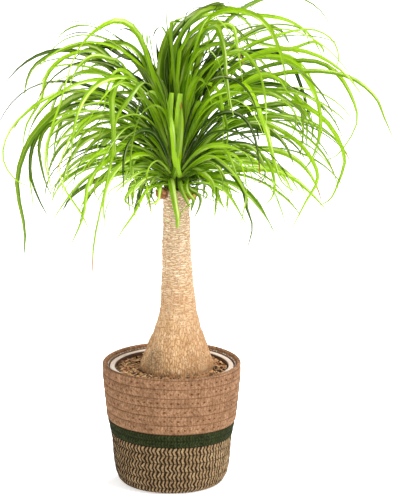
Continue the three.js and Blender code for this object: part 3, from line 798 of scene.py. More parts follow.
def braid_material(name, strands, slant, raised, sunk, stitch, two_tone=False):
    material, tree, place = new_material(name)
    rows = node(tree, "ShaderNodeUVMap", uv_map="Rows").outputs[0]
    braid = group_node(tree, "Braid rows", {"Vector": rows, "Strands": float(strands),
                                            "Slant": slant})
    mask, grain = mottled(tree, place, 60.0, 900.0, 0.45)
    edge = 0.22 if two_tone else 1.0
    # Between the strands the sunk colour: the real dark strand of the two-tone braid, and painted
    # shade between the strands of the plain braids
    color = mixed(tree, stepped(tree, braid["Wave"], -edge, edge), sunk, raised)
    dirt = mixed(tree, mask, (*BRAID_DIRTY, 1), (*BRAID_CLEAN, 1))
    color = mixed(tree, 1.0, color, dirt, "MULTIPLY")
    weave = node(tree, "ShaderNodeTexVoronoi", {
        "Vector": stretched(tree, rows, (190.0, 4.2, 1.0)), "Scale": 1.0, "Randomness": 0.8})
    weave = node(tree, "ShaderNodeSeparateColor", {0: weave.outputs["Color"]}).outputs[0]
    color = mixed(tree, weave, tinted(tree, color, BRAID_WEAVE), color)
    color = mixed(tree, times(tree, stepped(tree, grain, 0.47, 0.37), 0.5), color, stitch)
    # The grooves between rows and the stitches take the seam colour: dark thread, with painted
    # shade in the grooves
    groove_thread_and_shade = plus(tree, 0.35, times(tree, mask, 0.5))
    sewn = 0.0 if two_tone else stepped(tree, weave, 0.95, 0.4)
    shade = calc(tree, "MAXIMUM", times(tree, braid["Groove"], groove_thread_and_shade),
                 times(tree, braid["Stitch"], sewn))
    color = mixed(tree, shade, color, stitch)
    height = plus(tree, braid["Height"], times(tree, grain, 0.7))
    put_out(tree, surface(tree, color, 0.95, height, 0.0006, 0.6, Specular_IOR_Level=0.1))
    return material


def painted_wall_shade(tree, place):
    """Painted shade: 1 on the inside of the nursery pot below its rim, 0 elsewhere."""
    split = parts(tree, place)
    rise = times(tree, calc(tree, "DIVIDE", split[1], BACK_REACH * MM, clamp=True),
                 BACK_RISE * MM)
    level = calc(tree, "SUBTRACT", split[2], rise)
    flat = stretched(tree, place, (1, 1, 0))
    radius = node(tree, "ShaderNodeVectorMath", {0: flat}, operation="LENGTH").outputs["Value"]
    return times(tree, stepped(tree, level, (POT_TOP - 0.3) * MM, (POT_TOP - 1.3) * MM),
                 stepped(tree, radius, 0.0775, 0.0755))


def plastic_material(name, pale, stained, coarse, wall_shade=None):
    material, tree, place = new_material(name)
    mask, grain = mottled(tree, place, coarse, 500.0, 0.6)
    color = mixed(tree, mask, stained, pale)
    # Painted shade on the pot's inner wall, in the colour of soil
    if wall_shade is not None:
        color = mixed(tree, painted_wall_shade(tree, place), color, wall_shade)
    put_out(tree, surface(tree, color, PLASTIC_ROUGHNESS, grain, 0.0003, 0.4))
    return material


def grain_material(name, light, middle, dark, coarse, fine):
    """Bark chips, coir and dry shoots: every chip has its own tone."""
    material, tree, place = new_material(name)
    mask, grain = mottled(tree, place, coarse, fine, 0.5)
    color = mixed(tree, stepped(tree, carried(tree, "Tone"), 0.0, 1.0), dark, light)
    color = mixed(tree, mask, mixed(tree, 0.6, color, middle, "MULTIPLY"), color)
    put_out(tree, surface(tree, color, 0.9, grain, 0.0008, 0.8, Specular_IOR_Level=0.2))
    return material


def plates(tree, place, across, upright, seed):
    """Distance to the cracks between bark plates of a given size, and a tone for each plate."""
    warp = clouds(tree, place, 260.0, 2.0).outputs[1]
    push = node(tree, "ShaderNodeVectorMath", {0: warp, 1: (0.0022, 0.0022, 0.0022)},
                operation="MULTIPLY").outputs[0]
    bent = node(tree, "ShaderNodeVectorMath", {0: place, 1: push}, operation="ADD").outputs[0]
    sized = stretched(tree, bent, (1 / across, 1 / across, 1 / upright), (seed, seed, seed))
    edge, cell = [node(tree, "ShaderNodeTexVoronoi",
                       {"Vector": sized, "Scale": 1000.0, "Randomness": 0.9}, feature=feature)
                  for feature in ("DISTANCE_TO_EDGE", "F1")]
    tone = node(tree, "ShaderNodeSeparateColor", {0: cell.outputs["Color"]}).outputs[0]
    return edge.outputs["Distance"], tone


def bark_material(settings):
    """Pale cork: upright cells on the swollen base, ring scars on the neck, dark at the soil, and
    painted shade on the right of the lower trunk.
    """
    material, tree, place = new_material("bark")
    split = parts(tree, place)
    across, height = split[0], split[2]
    mask, grain = mottled(tree, place, 55.0, 520.0, 0.5)
    neck = stepped(tree, plus(tree, height, times(tree, grain, 0.05)), 0.215, 0.275)
    edge, tone = [node(tree, "ShaderNodeMix", {0: neck, 2: low, 3: high}).outputs[0]
                  for low, high in zip(plates(tree, place, 3.0, 13.0, 0.3),
                                       plates(tree, place, 10.0, 2.3, 0.7))]
    level = plus(tree, times(tree, height, 230.0), times(tree, mask, 0.7))
    ring = times(tree, stepped(tree, calc(tree, "FRACT", level), 0.3, 0.05),
                 stepped(tree, grain, 0.44, 0.56))
    ring = times(tree, times(tree, ring, neck), 0.7)
    fibres = clouds(tree, stretched(tree, place, (1.0, 1.0, 0.3)), 700.0, 4.0, 0.65).outputs[0]
    crack = times(tree, stepped(tree, edge, 0.22, 0.02), stepped(tree, grain, 0.36, 0.54))
    base = mixed(tree, stepped(tree, height, 0.15, 0.36), settings.low, settings.high)
    base = mixed(tree, mask, tinted(tree, base, BARK_MOTTLE), base)
    base = mixed(tree, stepped(tree, fibres, 0.42, 0.62), tinted(tree, base, BARK_FIBRE), base)
    base = mixed(tree, tone, tinted(tree, base, BARK_PLATE), base)
    # Painted shade: the lower trunk is darker on its right side
    painted_side_shade = times(tree, stepped(tree, across, 0.0, 0.04), stepped(tree, height, 0.27, 0.2))
    base = mixed(tree, painted_side_shade, base, tinted(tree, base, BARK_SIDE_SHADE))
    dark = calc(tree, "MAXIMUM", times(tree, crack, 0.85), ring)
    color = mixed(tree, dark, base, settings.crack)
    away = node(tree, "ShaderNodeVectorMath",
                {0: stretched(tree, place, (1, 1, 0.75), (0.024, 0.034, -0.130))},
                operation="LENGTH")
    near = stepped(tree, away.outputs["Value"], 0.021, 0.006)
    stain = times(tree, near, stepped(tree, grain, 0.4, 0.55))
    soil_line = times(tree, stepped(tree, height, 0.160, 0.148), stepped(tree, grain, 0.52, 0.42))
    marks = calc(tree, "MAXIMUM", times(tree, stain, 0.6), times(tree, soil_line, 0.4))
    color = mixed(tree, marks, color, settings.stain)
    relief = plus(tree, times(tree, stepped(tree, edge, 0.0, 0.25), 0.7),
                  times(tree, fibres, 0.5))
    put_out(tree, surface(tree, color, 0.92, relief, 0.0012, 0.9, Specular_IOR_Level=0.15))
    return material


def leaf_material(settings):
    """Strap leaf: streaks along it, a pale midrib, a pale foot and here and there a dry tip, with
    painted shade on one half of the fold and near the stem, and painted highlights in patches and
    towards the end.
    """
    material, tree, place = new_material("leaf")
    rows = node(tree, "ShaderNodeUVMap", uv_map="Blade").outputs[0]
    split = parts(tree, rows)
    across, ahead = split[0], split[1]
    tone, dry = carried(tree, "Tone"), carried(tree, "Dry")
    streaks = clouds(tree, stretched(tree, rows, (14.0, 1.2, 1.0)), 1.0, 3.0).outputs[0]
    mask, _ = mottled(tree, place, 18.0, 140.0, 0.7)
    color = mixed(tree, stepped(tree, tone, 0.0, 0.75), settings.deep, settings.fresh)
    # The brightest leaves turn lime: the colour of young leaves, brightened to stand in for light
    # shining through them, partly painted light
    color = mixed(tree, stepped(tree, tone, 0.7, 1.0), color, settings.lime_and_glow)
    streak = stepped(tree, streaks, 0.35, 0.65)
    color = mixed(tree, streak, tinted(tree, color, LEAF_STREAK), color)
    color = mixed(tree, mask, tinted(tree, color, LEAF_MOTTLE), color)
    # Leaves that aren't bright take painted shade: one half of the folded blade is darker, and so
    # is the part near the stem
    takes_painted_shade = stepped(tree, tone, 0.8, 0.65)
    painted_fold_shade = times(tree, stepped(tree, across, 0.56, 0.42), takes_painted_shade)
    color = mixed(tree, painted_fold_shade, color, tinted(tree, color, LEAF_FOLD_SHADE))
    # Painted shade near the stem, where the crown is dense
    inner = times(tree, stepped(tree, ahead, 0.5, 0.12), takes_painted_shade)
    color = mixed(tree, times(tree, inner, settings.core), color, tinted(tree, color, LEAF_CORE_SHADE))
    # Painted highlights: pale patches along one side of each blade, fewer near the stem and on dark
    # leaves
    patches = clouds(tree, place, 13.0, 2.0).outputs[0]
    painted_highlight = times(tree, stepped(tree, patches, 0.48, 0.62),
                  times(tree, stepped(tree, across, 0.5, 0.62), stepped(tree, across, 0.95, 0.8)))
    painted_highlight = times(tree, painted_highlight, calc(tree, "SUBTRACT", 0.75, inner))
    painted_highlight = times(tree, painted_highlight, plus(tree, 0.4, tone, clamp=True))
    color = mixed(tree, calc(tree, "MAXIMUM", painted_highlight, 0.0), color, settings.painted_highlight)
    # Painted light: towards its end a leaf is lightened towards the highlight colour, more so when
    # it is light
    outer = times(tree, stepped(tree, ahead, 0.4, 0.9), TIP_PAINTED_LIGHT)
    color = mixed(tree, times(tree, outer, tone), color, settings.painted_highlight)
    rib = stepped(tree, calc(tree, "ABSOLUTE", calc(tree, "SUBTRACT", across, 0.5)), 0.1, 0.02)
    color = mixed(tree, times(tree, rib, MIDRIB), color, settings.foot)
    color = mixed(tree, times(tree, stepped(tree, ahead, 0.13, 0.0), FOOT), color, settings.foot)
    tip = times(tree, stepped(tree, ahead, 0.9, 0.97), dry)
    color = mixed(tree, tip, color, settings.dry)
    height = plus(tree, times(tree, streaks, 0.6), rib)
    blade = surface(tree, color, 0.3, height, 0.0004, 0.5, Specular_IOR_Level=0.15)
    through = node(tree, "ShaderNodeBsdfTranslucent", {"Color": tinted(tree, color, LEAF_THROUGH)})
    shader = node(tree, "ShaderNodeMixShader", {0: LET_THROUGH})
    tree.links.new(blade.outputs[0], shader.inputs[1])
    tree.links.new(through.outputs[0], shader.inputs[2])
    put_out(tree, shader)
    return material


# Basket

def coil_share(points):
    """How far round from the coil's seam each point lies, 0 to 1."""
    return ((np.arctan2(points[:, 1], points[:, 0]) / DEG - COIL_SEAM) / 360) % 1


def coil_rise(share):
    """The coil of braid comes down by one row on its way round."""
    return COIL_RISE * (0.5 - share)


def back_rise(points, low, high):
    """The upper edges sit a little higher at the back."""
    return (BACK_RISE * np.clip(points[:, 1] / BACK_REACH, 0, 1)
            * np.clip((points[:, 2] - low) / (high - low), 0, 1))


def raised_spot(radius, angle, height, share=1.0):
    """A point at a radius and an angle, with its share of the rise at the back."""
    rise = share * BACK_RISE * min(1, max(0, radius * math.sin(angle) / BACK_REACH))
    return Vector((radius * math.cos(angle), radius * math.sin(angle), height + rise))


def braid_piece(name, section, columns, rows, level, strands, slant, strand_height):
    """Spins one colour of braid, slopes its rows, and raises rows and strands on its outside."""
    obj = spun(name, section, columns, on_axis=section[0][0] == 0)
    points = points_of(obj)
    radius = np.hypot(points[:, 0], points[:, 1])
    share = coil_share(points)
    flat = points[:, 2].copy()
    height = flat + coil_rise(share) * along(level, flat)
    outer = along(OUTLINE, flat)
    outside = (radius > outer - 0.05) & (flat > 1)
    first, pitch = rows
    row = (height - coil_rise(share) - first) / pitch % 1
    centred = np.abs(2 * row - 1)
    turn = share * strands + slant * (1 - centred)
    strand = 0.5 + 0.5 * np.cos(2 * math.pi * turn)
    fades = np.clip((BASKET_HEIGHT - 1 - flat) / 8, 0.08, 1)
    relief = -GROOVE_DEPTH * centred ** 4 * (flat < RIM_START) + strand_height * strand * fades
    grown = np.where(outside, along(OUTLINE, height) - outer + relief - strand_height, 0)
    factor = 1 + grown / np.maximum(radius, 1)
    points = np.column_stack([points[:, 0] * factor, points[:, 1] * factor, height])
    rows_map(obj, share, height, rows)
    points[:, 2] += back_rise(points, 90, 150)
    move_points(obj, points)
    smooth(obj)
    return obj


def rows_map(obj, share, height, rows):
    """Map whose X is the share of a turn and whose Y counts rows of braid."""
    vertex, face = corner_points(obj.data)
    turn = share[vertex]
    highest = np.zeros(len(obj.data.polygons))
    np.maximum.at(highest, face, turn)
    turn = np.where((highest[face] - turn) > 0.5, turn + 1, turn)
    row = (height[vertex] - coil_rise(turn) - rows[0]) / rows[1] + 20
    give_map(obj, "Rows", np.column_stack([turn, row]))


def wall(low, high, steps):
    """Outside of the basket from low to high."""
    heights = np.linspace(low, high, steps)
    return [[along(OUTLINE, height), height] for height in heights]


def lining(heights):
    return [[along(INSIDE, height), height] for height in heights]


def arc(across, height, radius, first, last, steps):
    """A rounded edge of a section, from the angle first to the angle last."""
    turns = [between(first, last, step / steps) for step in range(steps + 1)]
    return [[across + radius * math.cos(turn), height + radius * math.sin(turn)]
            for turn in turns]


def make_basket(settings):
    plain, pattern = settings.plain_strands, settings.pattern_strands
    tan = braid_material("tan_braid", plain, PLAIN_SLANT, settings.tan, settings.tan_dark,
                         settings.seam)
    green = braid_material("green_braid", plain, PLAIN_SLANT, settings.green,
                           settings.green_dark, settings.green_seam)
    two = braid_material("patterned_braid", pattern, PATTERN_SLANT, settings.pale,
                         settings.dark, settings.dark, two_tone=True)
    low = GREEN_TOP + GAP / 2
    section = [*wall(low, RIM_START - 0.4, 6 * ROW_STEPS),
               *arc(RIM_RADIUS - RIM_ROUND, RIM_START, RIM_ROUND, 0, math.pi, 8),
               *lining((153, 150, 130, 110, 90, low))]
    tan_rows = braid_piece("basket_tan_rows", section, plain * 6, TAN_ROWS,
                           [[low, 1], [RIM_START, 0]], plain, PLAIN_SLANT, PLAIN_RELIEF)
    finished(tan_rows, tan, ["basket_tan_braid"])

    low, high = GREEN_BOTTOM + GAP / 2, GREEN_TOP - GAP / 2
    section = [*wall(low, high, 2 * ROW_STEPS), *lining((high, 73, low))]
    green_rows = braid_piece("basket_green_rows", section, plain * 6, GREEN_ROWS, [[0, 1]],
                             plain, PLAIN_SLANT, PLAIN_RELIEF)
    finished(green_rows, green, ["basket_green_braid"])

    high = GREEN_BOTTOM - GAP / 2
    section = [[0, BASE_THICKNESS], [0, 0], [30, 0], [58, 0], [60, 0.1], [64.6, 1.4],
               *wall(2.4, high, 5 * ROW_STEPS + 6), *lining((high, 48, 34, 18)),
               [61, 9], [54, BASE_THICKNESS]]
    lower_rows = braid_piece("basket_patterned_rows", section, pattern * 8, PATTERN_ROWS,
                             [[4, 0], [high, 1]], pattern, PATTERN_SLANT, PATTERN_RELIEF)
    finished(lower_rows, two, ["basket_patterned_braid"])


# Liner and nursery pot

def make_liner(settings):
    """Film sewn under the rim: its folded top edge shows, with a row of thread over it."""
    floor = BASE_THICKNESS + GAP
    heights = [34, 48, 62, 76, 90, 110, 130, 146, 150, 152, LINER_TOP - 0.6]
    outside = [[radius - GAP, height] for radius, height in lining(heights)]
    film = GAP + LINER_THICKNESS
    inside = [[radius - film, height] for radius, height in lining(heights)][::-1]
    edge = along(INSIDE, LINER_TOP) - GAP
    section = [
        [0, floor], [54, floor], [60.7, 9.3], [along(INSIDE, 18) - GAP, 18.3], *outside,
        [edge - 0.2, LINER_TOP], [edge - LINER_THICKNESS + 0.2, LINER_TOP], *inside,
        [along(INSIDE, 18) - film, 19.1], [59.9, 10.1], [52.9, floor + LINER_THICKNESS],
        [0, floor + LINER_THICKNESS],
    ]
    obj = spun("liner_film", section, 180, on_axis=True)
    points = points_of(obj)
    angle = np.arctan2(points[:, 1], points[:, 0])
    upper = np.clip((points[:, 2] - 140) / 14, 0, 1)
    ripple = 0.35 * upper * (np.sin(23 * angle) + 0.6 * np.sin(51 * angle + 1))
    radius = np.hypot(points[:, 0], points[:, 1])
    factor = 1 + np.minimum(ripple, 0) / np.maximum(radius, 1)
    points[:, :2] *= factor[:, None]
    points[:, 2] += 0.5 * upper * np.sin(37 * angle + 2) + back_rise(points, 110, 150)
    move_points(obj, points)
    smooth(obj, 50)
    film_finish = plastic_material("liner_film", settings.film, settings.film_stain, 90.0)
    finished(obj, film_finish, ["film_liner"])
    thread = sown_copies("liner_thread", bar(0.5, 6), thread_places())
    smooth(thread, 60)
    thread_finish = plastic_material("liner_thread", settings.thread, settings.film_stain, 200.0)
    finished(thread, thread_finish, [])


def taken(obj):
    """The vertices and faces of an object that was made only to be copied."""
    points = points_of(obj)
    faces = [tuple(face.vertices) for face in obj.data.polygons]
    bpy.data.objects.remove(obj)
    return points, faces


def bar(radius, sides):
    """A short round-ended bar of unit length along X, as vertices and faces, to be copied."""
    deselect()
    bpy.ops.mesh.primitive_cylinder_add(vertices=sides, radius=radius * MM, depth=MM,
                                        rotation=(0, math.pi / 2, 0))
    bpy.ops.object.transform_apply(location=False, rotation=True, scale=False)
    obj = bpy.context.object
    bpy.ops.object.mode_set(mode="EDIT")
    bpy.ops.mesh.select_all(action="SELECT")
    bpy.ops.mesh.bisect(plane_co=(0, 0, 0), plane_no=(1, 0, 0))
    bpy.ops.object.mode_set(mode="OBJECT")
    points, faces = taken(obj)
    points[:, 1:] *= np.where(np.abs(points[:, :1]) > 0.4, 0.6, 1.0)
    return points, faces


def lump(seed):
    """An uneven little chip with bevelled edges, one unit long, to be copied."""
    deselect()
    bpy.ops.mesh.primitive_cube_add(size=MM)
    obj = bpy.context.object
    bpy.ops.object.mode_set(mode="EDIT")
    bpy.ops.mesh.select_all(action="SELECT")
    bpy.ops.mesh.bevel(offset=0.22 * MM, segments=1, affect="EDGES")
    bpy.ops.object.mode_set(mode="OBJECT")
    points, faces = taken(obj)
    points += 0.16 * np.column_stack([bumps(points, 0.5, seed + k) for k in range(3)])
    return points, faces


def thread_places():
    """Stitches through the liner's hem: position, direction, up, size and tone of each."""
    height = LINER_TOP - 1.2
    radius = along(INSIDE, height) - GAP - LINER_THICKNESS - 0.35
    places = []
    for number in range(STITCHES):
        angle = 2 * math.pi * number / STITCHES
        ahead = Vector((-math.sin(angle), math.cos(angle), 0.35 * (-1) ** number)).normalized()
        places.append((raised_spot(radius, angle, height), ahead, Vector((0, 0, 1)),
                       (2.4, 1.4, 1.4), 0.5))
    return places


def shifted(faces, start):
    """Faces of a copy whose vertices begin at start."""
    return [tuple(start + corner for corner in face) for face in faces]


def sown_copies(name, pattern, places):
    """Copies of a pattern, each turned, sized and put in its place, as one piece."""
    shape, faces = pattern
    vertices, polygons, tones = [], [], []
    for number, (position, ahead, up, size, tone) in enumerate(places):
        side = up.cross(ahead).normalized()
        turn = np.array([ahead, side, ahead.cross(side).normalized()])
        vertices.append((shape * np.array(size)) @ turn + np.array(position))
        polygons += shifted(faces, number * len(shape))
        tones += [tone] * len(shape)
    return joined(name, np.vstack(vertices), polygons, {"Tone": tones})


def give_values(mesh, label, values):
    """A value for every vertex, which the materials read."""
    layer = mesh.attributes.new(label, "FLOAT", "POINT")
    layer.data.foreach_set("value", np.array(values, np.float32))


def give_map(obj, name, spots):
    """A map of the piece's own, with a spot for every face corner."""
    layer = obj.data.uv_layers.new(name=name)
    layer.data.foreach_set("uv", spots.ravel())


def joined(name, vertices, polygons, attributes):
    mesh = bpy.data.meshes.new(name)
    mesh.from_pydata((vertices * MM).tolist(), [], polygons)
    for label, values in attributes.items():
        give_values(mesh, label, values)
    obj = bpy.data.objects.new(name, mesh)
    bpy.context.scene.collection.objects.link(obj)
    return obj


def pot_radius(height):
    return along([[POT_FLOOR, POT_FOOT_RADIUS], [POT_TOP - POT_RIM_HEIGHT, POT_RIM_OUTER - 3]],
                 height)


def make_nursery_pot(settings):
    under = POT_TOP - POT_RIM_HEIGHT
    section = [[0, POT_FLOOR], [POT_FOOT_RADIUS - 1, POT_FLOOR], [POT_FOOT_RADIUS, POT_FLOOR + 1]]
    section += [[pot_radius(height), height] for height in (30, 60, 100, under - 0.5)]
    section += [[pot_radius(under) + 0.4, under], [POT_RIM_OUTER - 0.5, under]]
    section += arc(POT_RIM_OUTER - POT_OUTER_ROUND, POT_TOP - POT_OUTER_ROUND, POT_OUTER_ROUND,
                   0, math.pi / 2, 4)
    section += arc(POT_RIM_INNER + POT_INNER_ROUND, POT_TOP - POT_INNER_ROUND, POT_INNER_ROUND,
                   math.pi / 2, math.pi, 4)
    section += [[POT_RIM_INNER, under], [pot_radius(100) - POT_WALL, 100],
                [pot_radius(60) - POT_WALL, 60],
                [POT_FOOT_RADIUS - POT_WALL, POT_FLOOR + POT_WALL], [0, POT_FLOOR + POT_WALL]]
    obj = spun("nursery_pot_shell", section, 160, on_axis=True)
    points = points_of(obj)
    points[:, 2] += back_rise(points, 110, 148)
    move_points(obj, points)
    smooth(obj, 40)
    finish = plastic_material("pot_plastic", settings.pot, settings.pot_stain, 40.0,
                              settings.pot_wall_shade)
    finished(obj, finish, ["nursery_pot"])


# Soil

def trunk_shift(height):
    return TRUNK_X + along([[140, -1.2], [180, 1.2], [215, 2.2], [260, 1.2], [330, 0]], height)


def make_soil(settings):
    edge = POT_RIM_INNER - GAP
    hole = [[along(TRUNK, height) + 1.4, height] for height in (110, 118, 126, 134, 141, 146)]
    top = [[radius, SOIL_TOP] for radius in np.linspace(SOIL_INNER, edge - 6, 24)]
    section = [[0, ROOT_BOTTOM - 0.4], [28.6, ROOT_BOTTOM - 0.4], *hole, *top,
               [edge - 2.5, SOIL_TOP - 0.3], [edge - 0.3, SOIL_TOP - 1],
               [pot_radius(60) - POT_WALL - GAP, 60],
               [POT_FOOT_RADIUS - POT_WALL - 1, POT_FLOOR + POT_WALL + GAP],
               [0, POT_FLOOR + POT_WALL + GAP]]
    obj = spun("soil_bed", section, 200, on_axis=True)
    points = points_of(obj)
    radius = np.hypot(points[:, 0], points[:, 1])
    by_trunk = (points[:, 2] > ROOT_BOTTOM - 2) & (radius < edge - 1)
    lean = np.where(by_trunk, np.clip((edge - 3 - radius) / 20, 0, 1), 0)
    points[:, 0] += lean * trunk_shift(points[:, 2])
    raised = (points[:, 2] > SOIL_TOP - 2.5) & (radius < edge + 1)
    lumps = (1.5 * bumps(points, 9, 1) + 1.3 * bumps(points, 4, 2) + 0.8 * bumps(points, 1.8, 3))
    inward = np.clip((edge + 1 - radius) / 4, 0, 1)
    points[:, 2] += np.where(raised, lumps * inward, 0) + SOIL_RISE * back_rise(points, 120, 146)
    move_points(obj, points)
    smooth(obj, 45)
    give_values(obj.data, "Tone", np.clip(0.25 + 0.5 * bumps(points, 3, 4), 0, 1))
    finish = grain_material("soil", settings.chip, settings.soil, settings.soil_dark, 120.0, 700.0)
    finished(obj, finish, ["soil"])
    chips = sown_copies("soil_chips", lump(5), chip_places(settings.chips))
    smooth(chips, 50)
    finished(chips, finish, [])
    straws = sown_copies("soil_straws", bar(0.5, 5), straw_places(settings.straws))
    smooth(straws, 60)
    straw = grain_material("straw", settings.straw, settings.chip, settings.bark, 200.0, 900.0)
    finished(straws, straw, [])


def bed_point(rng, reach):
    """A point on the soil between the trunk and the pot, at least reach away from both."""
    angle = rng.uniform(0, 2 * math.pi)
    inner = SOIL_INNER + TRUNK_X * math.cos(angle)
    radius = between(inner + reach, POT_RIM_INNER - 1.5 - reach, rng.random())
    return raised_spot(radius, angle, SOIL_TOP, SOIL_RISE)


def lying(rng, tilt):
    """Any direction over the ground, and up or down by as much as tilt."""
    return Vector((rng.uniform(-1, 1), rng.uniform(-1, 1), rng.uniform(-tilt, tilt))).normalized()


def chip_places(count):
    rng = random.Random(CHIP_SEED)
    places = []
    for _ in range(count):
        position = bed_point(rng, 1.2)
        ahead = lying(rng, 0.5)
        up = Vector((rng.uniform(-0.5, 0.5), rng.uniform(-0.5, 0.5), 1)).normalized()
        long = rng.uniform(2.5, 8)
        size = (long, long * rng.uniform(0.25, 0.6), long * rng.uniform(0.12, 0.3))
        position.z += rng.uniform(-0.6, 1.5)
        places.append((position, ahead, up, size, rng.choice((0.0, 0.15, 0.35, 0.6, 0.85, 1.0))))
    return places


def straw_places(count):
    rng = random.Random(STRAW_SEED)
    places = []
    for _ in range(count):
        position = bed_point(rng, 3.0)
        ahead = lying(rng, 0.25)
        position.z += rng.uniform(0.8, 2.4)
        thick = rng.uniform(0.5, 1.3)
        places.append((position, ahead, Vector((0, 0, 1)), (rng.uniform(5, 15), thick, thick),
                       rng.random()))
    return places


# Trunk

def make_trunk(settings):
    """Trunk grown as one piece: corky swollen base, ringed neck and the root ball in the soil."""
    heights = np.concatenate([np.arange(ROOT_BOTTOM + 2, 136, 3),
                              np.arange(137, TRUNK_TOP - 2, 1.5)])
    side = [[along(TRUNK, height), height] for height in heights]
    section = [[0, ROOT_BOTTOM], [26, ROOT_BOTTOM], *side, [16.4, TRUNK_TOP - 1.2],
               [15.2, TRUNK_TOP - 0.2], [9, TRUNK_TOP], [0, TRUNK_TOP]]
    obj = spun("trunk_bark", section, 150, on_axis=True)
    points = points_of(obj)
    radius = np.hypot(points[:, 0], points[:, 1])
    height = points[:, 2]
    angle = np.arctan2(points[:, 1], points[:, 0])
    swollen = along([[205, 1], [250, 0.25]], height)
    wave = np.cos(9 * angle + 0.05 * height) + 0.5 * np.cos(5 * angle - 0.11 * height)
    cracks = bumps(points / np.array([1, 1, 5.0]), 2.6, 5)
    rings = bumps(points / np.array([3.5, 3.5, 1]), 3.2, 6)
    soft = bumps(points, 26, 7)
    cork = 1.5 * swollen * cracks + 1.2 * (1 - swollen) * rings + 0.5 * bumps(points, 1.7, 8)
    relief = 0.8 * swollen * wave + settings.relief * cork + 0.8 * soft
    on_side = (height > 137) & (height < TRUNK_TOP - 0.1)
    factor = 1 + np.where(on_side, relief, 0) / np.maximum(radius, 4)
    points[:, 0] = points[:, 0] * factor + trunk_shift(height)
    points[:, 1] *= factor
    move_points(obj, points)
    smooth(obj)
    finished(obj, bark_material(settings), ["trunk"])


# Leaves

def leaf_pattern():
    """One blade of unit length, channel above and keel below: share along, across and depth."""
    deselect()
    bpy.ops.mesh.primitive_cylinder_add(vertices=4, radius=0.5, depth=1, location=(0, 0, 0.5))
    obj = bpy.context.object
    bpy.ops.object.transform_apply(location=True, rotation=False, scale=False)
    bpy.ops.object.mode_set(mode="EDIT")
    for step in range(1, FINE_STEPS):
        bpy.ops.mesh.select_all(action="SELECT")
        bpy.ops.mesh.bisect(plane_co=(0, 0, step / FINE_STEPS), plane_no=(0, 0, 1))
    bpy.ops.object.mode_set(mode="OBJECT")
    points, faces = taken(obj)
    points = points * MM
    ahead = points[:, 2]
    across = np.round(points[:, 0] * 2)
    depth = np.round(points[:, 1] * 2)
    return ahead, across, depth, faces


def spline(points, count):
    """Smooth curve through points, as count + 1 points evenly spread between them."""
    made = []
    last = len(points) - 1
    for number in range(count + 1):
        spot = last * number / count
        part = min(int(spot), last - 1)
        share = spot - part
        p1, p2 = points[part], points[part + 1]
        p0 = points[part - 1] if part > 0 else p1 * 2 - p2
        p3 = points[part + 2] if part + 2 <= last else p2 * 2 - p1
        t0, t1 = (p2 - p0) * 0.5, (p3 - p1) * 0.5
        made.append(p1 + t0 * share + (p2 * 3 - p1 * 3 - t0 * 2 - t1) * share ** 2
                    + (p1 * 2 - p2 * 2 + t0 + t1) * share ** 3)
    return made


def head_foot(head):
    facing = head["facing"] * DEG
    return Vector((TRUNK_X + HEAD_RING * math.cos(facing), HEAD_RING * math.sin(facing),
                   TRUNK_TOP + GAP))


def root_point(foot, facing, share):
    height = between(ROOT_LOW, ROOT_HIGH, min(1, max(0, share)))
    return Vector((foot.x + ROOT_OUT * math.cos(facing), foot.y + ROOT_OUT * math.sin(facing),
                   height))


def named_path(head, facing, points):
    foot = head_foot(head)
    slope = math.tan(facing * DEG)
    path = []
    for point in points:
        across, height = point[0], point[1]
        depth = point[2] if len(point) > 2 else foot.y + slope * (across - foot.x)
        share = depth / -EYE.y
        path.append(Vector((across + (across - EYE.x) * share, depth,
                            height + (height - EYE.z) * share)))
    root = root_point(foot, facing * DEG, (path[0].z - ROOT_LOW) / ROOT_REACH)
    return spline([root, *path], FINE_STEPS)


def arched_path(start, facing, rise, fall, length, drift):
    """A leaf that starts at a slope of rise degrees and bends over under its weight."""
    step = length / FINE_STEPS
    path = [start]
    for number in range(FINE_STEPS):
        share = (number + 0.5) / FINE_STEPS
        lift = (rise - fall * share ** 1.35) * DEG
        heading = facing + drift * share
        path.append(path[-1] + Vector((step * math.cos(lift) * math.cos(heading),
                                       step * math.cos(lift) * math.sin(heading),
                                       step * math.sin(lift))))
    return path


def wavering(path, facing, size, rng):
    """A path that wavers sideways and up by a few millimetres, more so towards its tip."""
    side = Vector((-math.sin(facing), math.cos(facing), 0))
    turns, first, second = rng.uniform(0.8, 1.6), rng.random(), rng.random()
    made = []
    for place, spot in enumerate(path):
        share = place / (len(path) - 1)
        reach = size * share * min(1, share * 2)
        angle = 2 * math.pi * turns * share
        made.append(spot + side * (reach * math.sin(angle + 6.3 * first))
                    + Vector((0, 0, 0.6 * reach * math.sin(angle + 6.3 * second))))
    return made


